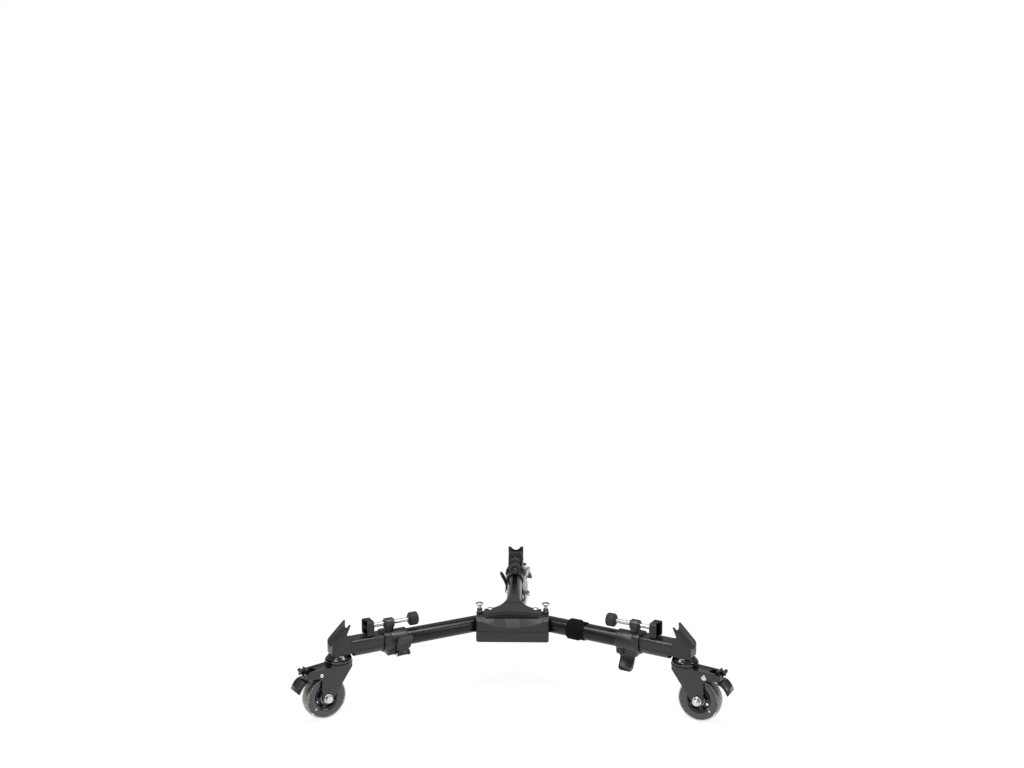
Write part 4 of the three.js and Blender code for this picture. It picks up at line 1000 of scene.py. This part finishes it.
class DOLLY_OT_swivels(bpy.types.Operator):
    """Swivel races: a domed cap, a narrow neck and a wider ball race, with the stem through them"""
    bl_idname = "dolly.swivels"
    bl_label = "Swivel races"

    def execute(self, context):
        race = turned("swivel_race", table(
            (5.4, 120.1), (6, 119.5), (6, 108.1), (16.2, 108.1), (17, 107.8), (18.2, 106.4), (20, 104.2),
            (22.2, 102.4), (22.5, 101.8), (22.3, 101.2), (20.4, 101.1), (20, 100.8), (20, 99.8), (20.6, 99.5),
            (22.9, 99.5), (23.4, 99.1), (23.5, 98.6), (23.5, 95.8), (23.2, 95.2), (22.8, 94.9), (6, 94.9),
            (6, 88.3), (9.8, 88.3), (10, 88), (10, 86.6), (9.5, 86.3), (3, 86.3)), sides=96)
        places = {side: leg_place(side) @ Matrix.Translation((swivel_reach(), 0, 0)) for side in SIDES}
        set_out(smooth(race, 40), places, "{}_swivel_race", "{}_section", "gloss_black_steel",
                gloss_lacquer())
        return {"FINISHED"}


def arm_height(x):
    """Height of the arm's top in millimetres, which falls a little towards its end"""
    return 91.6 - 2 * (x - 18) / (69 - 18)


class DOLLY_OT_forks(bpy.types.Operator):
    """Caster forks: pressed cheeks under a round crown, an arm over the wheel, and the pedal's rivet"""
    bl_idname = "dolly.forks"
    bl_label = "Caster forks"

    def execute(self, context):
        side = (table((-19, 91.6), (-19, 85.6)) + arc(10.2 * MM, 215, 355, 18, *mm(29, 38))
                + arc(9 * MM, 180, 90, 10, *mm(48.2, 68.6))
                + table((69, 80.6), (69, arm_height(69)), (18, 91.6)))
        fork = plate("caster_fork", side, -16 * MM, -13.5 * MM, "Y")
        weld(fork, plate("cheek", side, 13.5 * MM, 16 * MM, "Y"),
             block("yoke", mm(-19, -15.9, 88.6), mm(18.2, 15.9, 91.59)))
        tip = arm_height(69)
        arm = plate("arm", table((17, 91.58), (68.98, tip - 0.02), (68.98, tip - 3), (17, 88.6)),
                    -15.9 * MM, 15.9 * MM, "Y")
        cut(arm, plate("notch", rounded_rectangle(*mm(46, -7.5, 80, 7.5, 2.4), 5), *mm(70, 100)))
        weld(fork, arm, turned("crown", table((24.5, 91.5), (24.5, 94.58)), sides=96))
        cut(fork, cylinder("axle_hole", *mm(4.3, -40, 40), "Y", mm(29, 0, 38), 40),
            cylinder("stem_hole", *mm(6.3, 80, 100), sides=40))
        round_edges(fork, 1.0 * MM, 3, 34)
        set_out(fork, on_casters(), "{}_caster_fork", "{}_fork", "gloss_black_steel", gloss_lacquer())
        pin = turned("pedal_rivet", table((1.8, -17.5), (3.6, -17.2), (4.4, -16.6), (4.5, -16.02),
                                          (3, -16.02), (3, 16.02), (3.4, 16.02), (3.3, 16.6), (2.6, 17.2),
                                          (1.6, 17.5)), "Y", PEDAL_AXIS, 40)
        set_out(smooth(pin, 40), on_casters(), "{}_caster_fork", "{}_fork", "zinc_steel", zinc_plate())
        return {"FINISHED"}


class DOLLY_OT_pedals(bpy.types.Operator):
    """Brake pedals: a curved foot plate with a raised border, a tab to lift and a small roller"""
    bl_idname = "dolly.pedals"
    bl_label = "Brake pedals"

    def execute(self, context):
        arm = plate("brake_pedal", table((35.5, 84.6), (35.5, 79.1), (53.1, 77.4), (65.9, 75.1), (68.1, 77.1),
                                         (53.1, 83.1)), -11 * MM, 11 * MM, "Y")
        outer = bend(table((63.2, 77), (74, 76.8), (79, 69.5), (83.8, 58.8)), 14)
        inner = bend(table((81.9, 57.8), (77.2, 67.5), (72.8, 73.6), (63.4, 74.4)), 14)
        sole = plate("sole", outer + inner, -17 * MM, 17 * MM, "Y")

        def proud(points, low, high):
            return ([(a + high * 0.8, b + high * 0.6) for a, b in points]
                    + [(a + low * 0.8, b + low * 0.6) for a, b in reversed(points)])

        border = plate("border", proud(outer[2:13], -1 * MM, 0.7 * MM), -14 * MM, 14 * MM, "Y")
        cut(border, plate("field", proud(outer[3:12], -2 * MM, 3 * MM), -12.4 * MM, 12.4 * MM, "Y"))
        tab = plate("tab", table((60.1, 84.1), (63.7, 75.6), (67.2, 75.6), (64.5, 86.1), (61.9, 90.6),
                                 (66.7, 95.6), (64.1, 98.1), (56.4, 91.1)), -5.5 * MM, 5.5 * MM, "Y")
        neck = plate("neck", table((64.5, 86.6), (65.4, 79.1), (74.2, 91.9), (70.7, 95.4)), -2.75 * MM,
                     2.75 * MM, "Y")
        roller = turned("roller", both_ways((3, -5.5), (3.5, -5)), "Y", mm(72.4, 0, 93.6), 32)
        barrel = cylinder("barrel", *mm(4.4, -11, 11), "Y", PEDAL_AXIS, 40)
        weld(arm, sole, border, tab, neck, roller, barrel)
        cut(arm, cylinder("bore", *mm(3.3, -40, 40), "Y", PEDAL_AXIS, 40))
        round_edges(arm, 0.5 * MM, 2, 36)
        set_out(arm, on_casters(), "{}_brake_pedal", "{}_pedal", "gloss_black_steel", gloss_lacquer())
        return {"FINISHED"}


class DOLLY_OT_wheels(bpy.types.Operator):
    """Wheels: a clear tread on a smoky disc, a spoked core and a ball bearing"""
    bl_idname = "dolly.wheels"
    bl_label = "Wheels"

    def execute(self, context):
        sizes = context.scene.dolly_casters
        axle = (sizes.trail, 0, sizes.wheel_radius)
        radius, half = sizes.wheel_radius / MM, sizes.wheel_width / 2 / MM
        bed = radius - sizes.rim_width / MM
        face = [(bed, half - 0.3), (bed + 0.6, half - 0.1), (bed + 2, half - 0.5), (radius - 1.7, half - 2),
                (radius - 0.5, half - 4.6), (radius - 0.06, half - 7.4), (radius, 2)]
        tread = turned("wheel_tread", both_ways(*face), "Y", axle, 128, hollow=True)
        wheel = "{}_wheel_tyre", "{}_wheel", "smoke_tyre"
        set_out(smooth(tread, 45), on_casters(), *wheel, clear_polyurethane())
        face = [(21.3, half - 2.6), (22.4, half - 2), (24, half - 1.5), (27, half - 1), (30.4, half - 0.9),
                (bed - 0.5, half - 1.1), (bed + 0.3, half - 1.9)]
        disc = turned("wheel_disc", both_ways(*face), "Y", axle, 128, hollow=True)
        set_out(smooth(disc, 45), on_casters(), *wheel, smoky_polyurethane())
        reach, angle = 26 * MM, math.radians(-38)
        gate = (axle[0] + reach * math.cos(angle), 0, axle[2] + reach * math.sin(angle))
        plug = turned("wheel_plug", both_ways((1.3, -11.3), (1.7, -11.15)), "Y", gate, 24)
        set_out(smooth(plug), on_casters(), *wheel, zinc_plate())

        core = turned("wheel_core", both_ways(
            (11.3, -9.6), (12.6, -10), (13.2, -10), (13.6, -9.4), (18.6, -9.2), (19.2, -9.8), (20.6, -9.9),
            (21, -9.4)), "Y", sides=96, hollow=True)
        for i in range(sizes.spokes):
            start = 360 / sizes.spokes * (i + 0.16)
            end = 360 / sizes.spokes * (i + 0.84)
            window = arc(18.6 * MM, start, end, 10) + arc(13.4 * MM, end, start, 10)
            cut(core, plate("window", window, -20 * MM, 20 * MM, "Y"))
        round_edges(core, 0.4 * MM, 2, 36)
        place_in_mesh(core, Matrix.Translation(axle))
        set_out(core, on_casters(), "{}_wheel_core", "{}_wheel", "wheel_core", wheel_core_plastic())

        bearing = turned("wheel_bearing", both_ways(
            (4.3, -13.1), (6.4, -13.1), (6.6, -12.9), (6.6, -10.6), (7.2, -10.5), (7.4, -10.2), (9.6, -10.2),
            (9.8, -10.5), (10.7, -10.5), (11, -10.2)), "Y", axle, 64, hollow=True)
        set_out(smooth(bearing), on_casters(), "{}_wheel_bearing", "{}_wheel", "zinc_steel", zinc_plate())
        return {"FINISHED"}


class DOLLY_OT_axles(bpy.types.Operator):
    """Axle bolts: washers, a chamfered hexagon head, and a nut with the bolt's tail through it"""
    bl_idname = "dolly.axles"
    bl_label = "Axle bolts"

    def execute(self, context):
        sizes = context.scene.dolly_casters
        bolt = turned("axle_bolt", table((3.4, -26), (3.9, -25.5), (3.9, -17.7), (7.7, -17.6), (8, -17.3),
                                         (8, -16.4), (3.9, -16.3), (3.9, 16.3), (8, 16.4), (8, 17.3),
                                         (7.7, 17.6), (6, 17.6)), "Y", sides=48)
        for name, low, high in (("head", 17.4, 22.9), ("nut", -24.1, -17.4)):
            hexagon = plate(name, polygon(6, 11.5 * MM, 8), low * MM, high * MM, "Y")
            blunt = [(5.8, low), (6.8, low + 0.8), (6.8, high - 0.8), (5.8, high)]
            common(hexagon, turned("chamfer", table(*blunt), "Y", sides=64))
            weld(bolt, hexagon)
        round_edges(bolt, 0.2 * MM, 2, 28)
        place_in_mesh(bolt, Matrix.Translation((sizes.trail, 0, sizes.wheel_radius)))
        set_out(bolt, on_casters(), "{}_axle_bolt", "{}_fork", "zinc_steel", zinc_plate())
        return {"FINISHED"}


# Stage

def lamp(name, place, look_at, width, depth, power):
    """A softbox that looks at a point"""
    deselect()
    bpy.ops.object.light_add(type="AREA", location=place)
    made = bpy.context.object
    made.name = name
    made.data.shape = "RECTANGLE"
    made.data.size = width
    made.data.size_y = depth
    made.data.energy = power
    made.rotation_euler = (Vector(look_at) - Vector(place)).to_track_quat("-Z", "Y").to_euler()
    return made


class DOLLY_OT_stage(bpy.types.Operator):
    """Floor, lights and camera"""
    bl_idname = "dolly.stage"
    bl_label = "Stage"

    def execute(self, context):
        settings, scene = context.scene.dolly_stage, context.scene
        deselect()
        bpy.ops.mesh.primitive_plane_add(size=40, location=(0, 0, -0.0003))
        floor = bpy.context.object
        floor.name = "floor"
        material, tree = start_finish("white_floor")
        path = add(tree, "ShaderNodeLightPath").outputs
        seen = add(tree, "ShaderNodeMath", {0: path["Is Camera Ray"], 1: path["Is Glossy Ray"]},
                   operation="MAXIMUM")
        seen = add(tree, "ShaderNodeMath", {0: seen.outputs[0], 1: path["Is Transmission Ray"]},
                   operation="MAXIMUM")
        place = add(tree, "ShaderNodeTexCoord")
        away = add(tree, "ShaderNodeVectorMath", {0: place.outputs["Object"]}, operation="LENGTH")
        plain = add(tree, "ShaderNodeMapRange", {"Value": away.outputs["Value"], "From Min": 0.45,
                                                 "From Max": 0.9, "To Min": 0.86, "To Max": 1.0},
                    interpolation_type="SMOOTHSTEP")
        share = add(tree, "ShaderNodeMath", {0: seen.outputs[0], 1: plain.outputs[0]}, operation="MULTIPLY")
        paint = add(tree, "ShaderNodeBsdfDiffuse", {"Color": (0.9, 0.9, 0.9, 1)})
        glow = add(tree, "ShaderNodeEmission", {"Color": (1, 1, 1, 1), "Strength": 1.04})
        mixed = add(tree, "ShaderNodeMixShader", {0: share.outputs[0], 1: paint.outputs[0],
                                                  2: glow.outputs[0]})
        floor.data.materials.append(end_finish(material, tree, mixed))

        world = bpy.data.worlds.new("studio")
        scene.world = world
        world.use_nodes = True
        tree = world.node_tree
        tree.nodes.clear()
        path = add(tree, "ShaderNodeLightPath").outputs
        seen = add(tree, "ShaderNodeMath", {0: path["Is Camera Ray"], 1: path["Is Transmission Ray"]},
                   operation="MAXIMUM")
        glint = add(tree, "ShaderNodeMath", {0: path["Is Glossy Ray"], 1: 0.05, 2: 0.3},
                    operation="MULTIPLY_ADD")
        room = add(tree, "ShaderNodeBackground", {"Color": (1, 1, 1, 1), "Strength": glint.outputs[0]})
        white = add(tree, "ShaderNodeBackground", {"Color": (1, 1, 1, 1), "Strength": 1.0})
        mixed = add(tree, "ShaderNodeMixShader", {0: seen.outputs[0], 1: room.outputs[0],
                                                  2: white.outputs[0]})
        add(tree, "ShaderNodeOutputWorld", {"Surface": mixed.outputs[0]})

        lamp("key_light", (-0.7, -1.5, 1.6), (0, -0.1, 0.1), 0.7, 0.7, settings.key)
        lamp("fill_light", (1.7, -1.0, 1.1), (0, -0.1, 0.1), 0.9, 0.9, settings.fill)
        lamp("top_light", (0, -0.4, 1.9), (0, -0.3, 0.1), 2.6, 0.5, settings.top)

        bpy.ops.object.camera_add(location=MIDDLE + Vector(mm(35.8, -1873.1, 773.9)),
                                  rotation=(math.radians(90 - 6.355), 0, math.radians(1.157)))
        camera = bpy.context.object
        camera.name = "camera"
        camera.data.lens = settings.lens
        camera.data.sensor_width = 36
        camera.data.clip_end = 60
        scene.camera = camera
        scene.view_settings.view_transform = "Standard"
        return {"FINISHED"}


class DOLLY_PT_panel(bpy.types.Panel):
    """Pieces of the dolly"""
    bl_idname = "DOLLY_PT_panel"
    bl_label = "Tripod dolly"
    bl_space_type = "VIEW_3D"
    bl_region_type = "UI"
    bl_category = "Dolly"

    def draw(self, context):
        for operator in OPERATORS:
            self.layout.operator(operator.bl_idname)


GROUPS = {"dolly_hub": HubSizes, "dolly_legs": LegSizes, "dolly_clamps": ClampSizes,
          "dolly_casters": CasterSizes, "dolly_colours": DollyColours, "dolly_stage": StageSettings}
OPERATORS = (DOLLY_OT_hub, DOLLY_OT_pivot_bolts, DOLLY_OT_plungers, DOLLY_OT_tubes, DOLLY_OT_strap,
             DOLLY_OT_sections, DOLLY_OT_collars, DOLLY_OT_levers, DOLLY_OT_foot_posts, DOLLY_OT_foot_screws,
             DOLLY_OT_end_blocks, DOLLY_OT_swivels, DOLLY_OT_forks, DOLLY_OT_pedals, DOLLY_OT_wheels,
             DOLLY_OT_axles, DOLLY_OT_stage)


def register():
    for made in (*GROUPS.values(), *OPERATORS, DOLLY_PT_panel):
        bpy.utils.register_class(made)
    for name, group in GROUPS.items():
        setattr(bpy.types.Scene, name, PointerProperty(type=group))


def unregister():
    for name in GROUPS:
        delattr(bpy.types.Scene, name)
    for made in reversed((*GROUPS.values(), *OPERATORS, DOLLY_PT_panel)):
        bpy.utils.unregister_class(made)


def main():
    register()
    for operator in OPERATORS:
        group, name = operator.bl_idname.split(".")
        getattr(getattr(bpy.ops, group), name)()


if __name__ == "__main__":
    main()
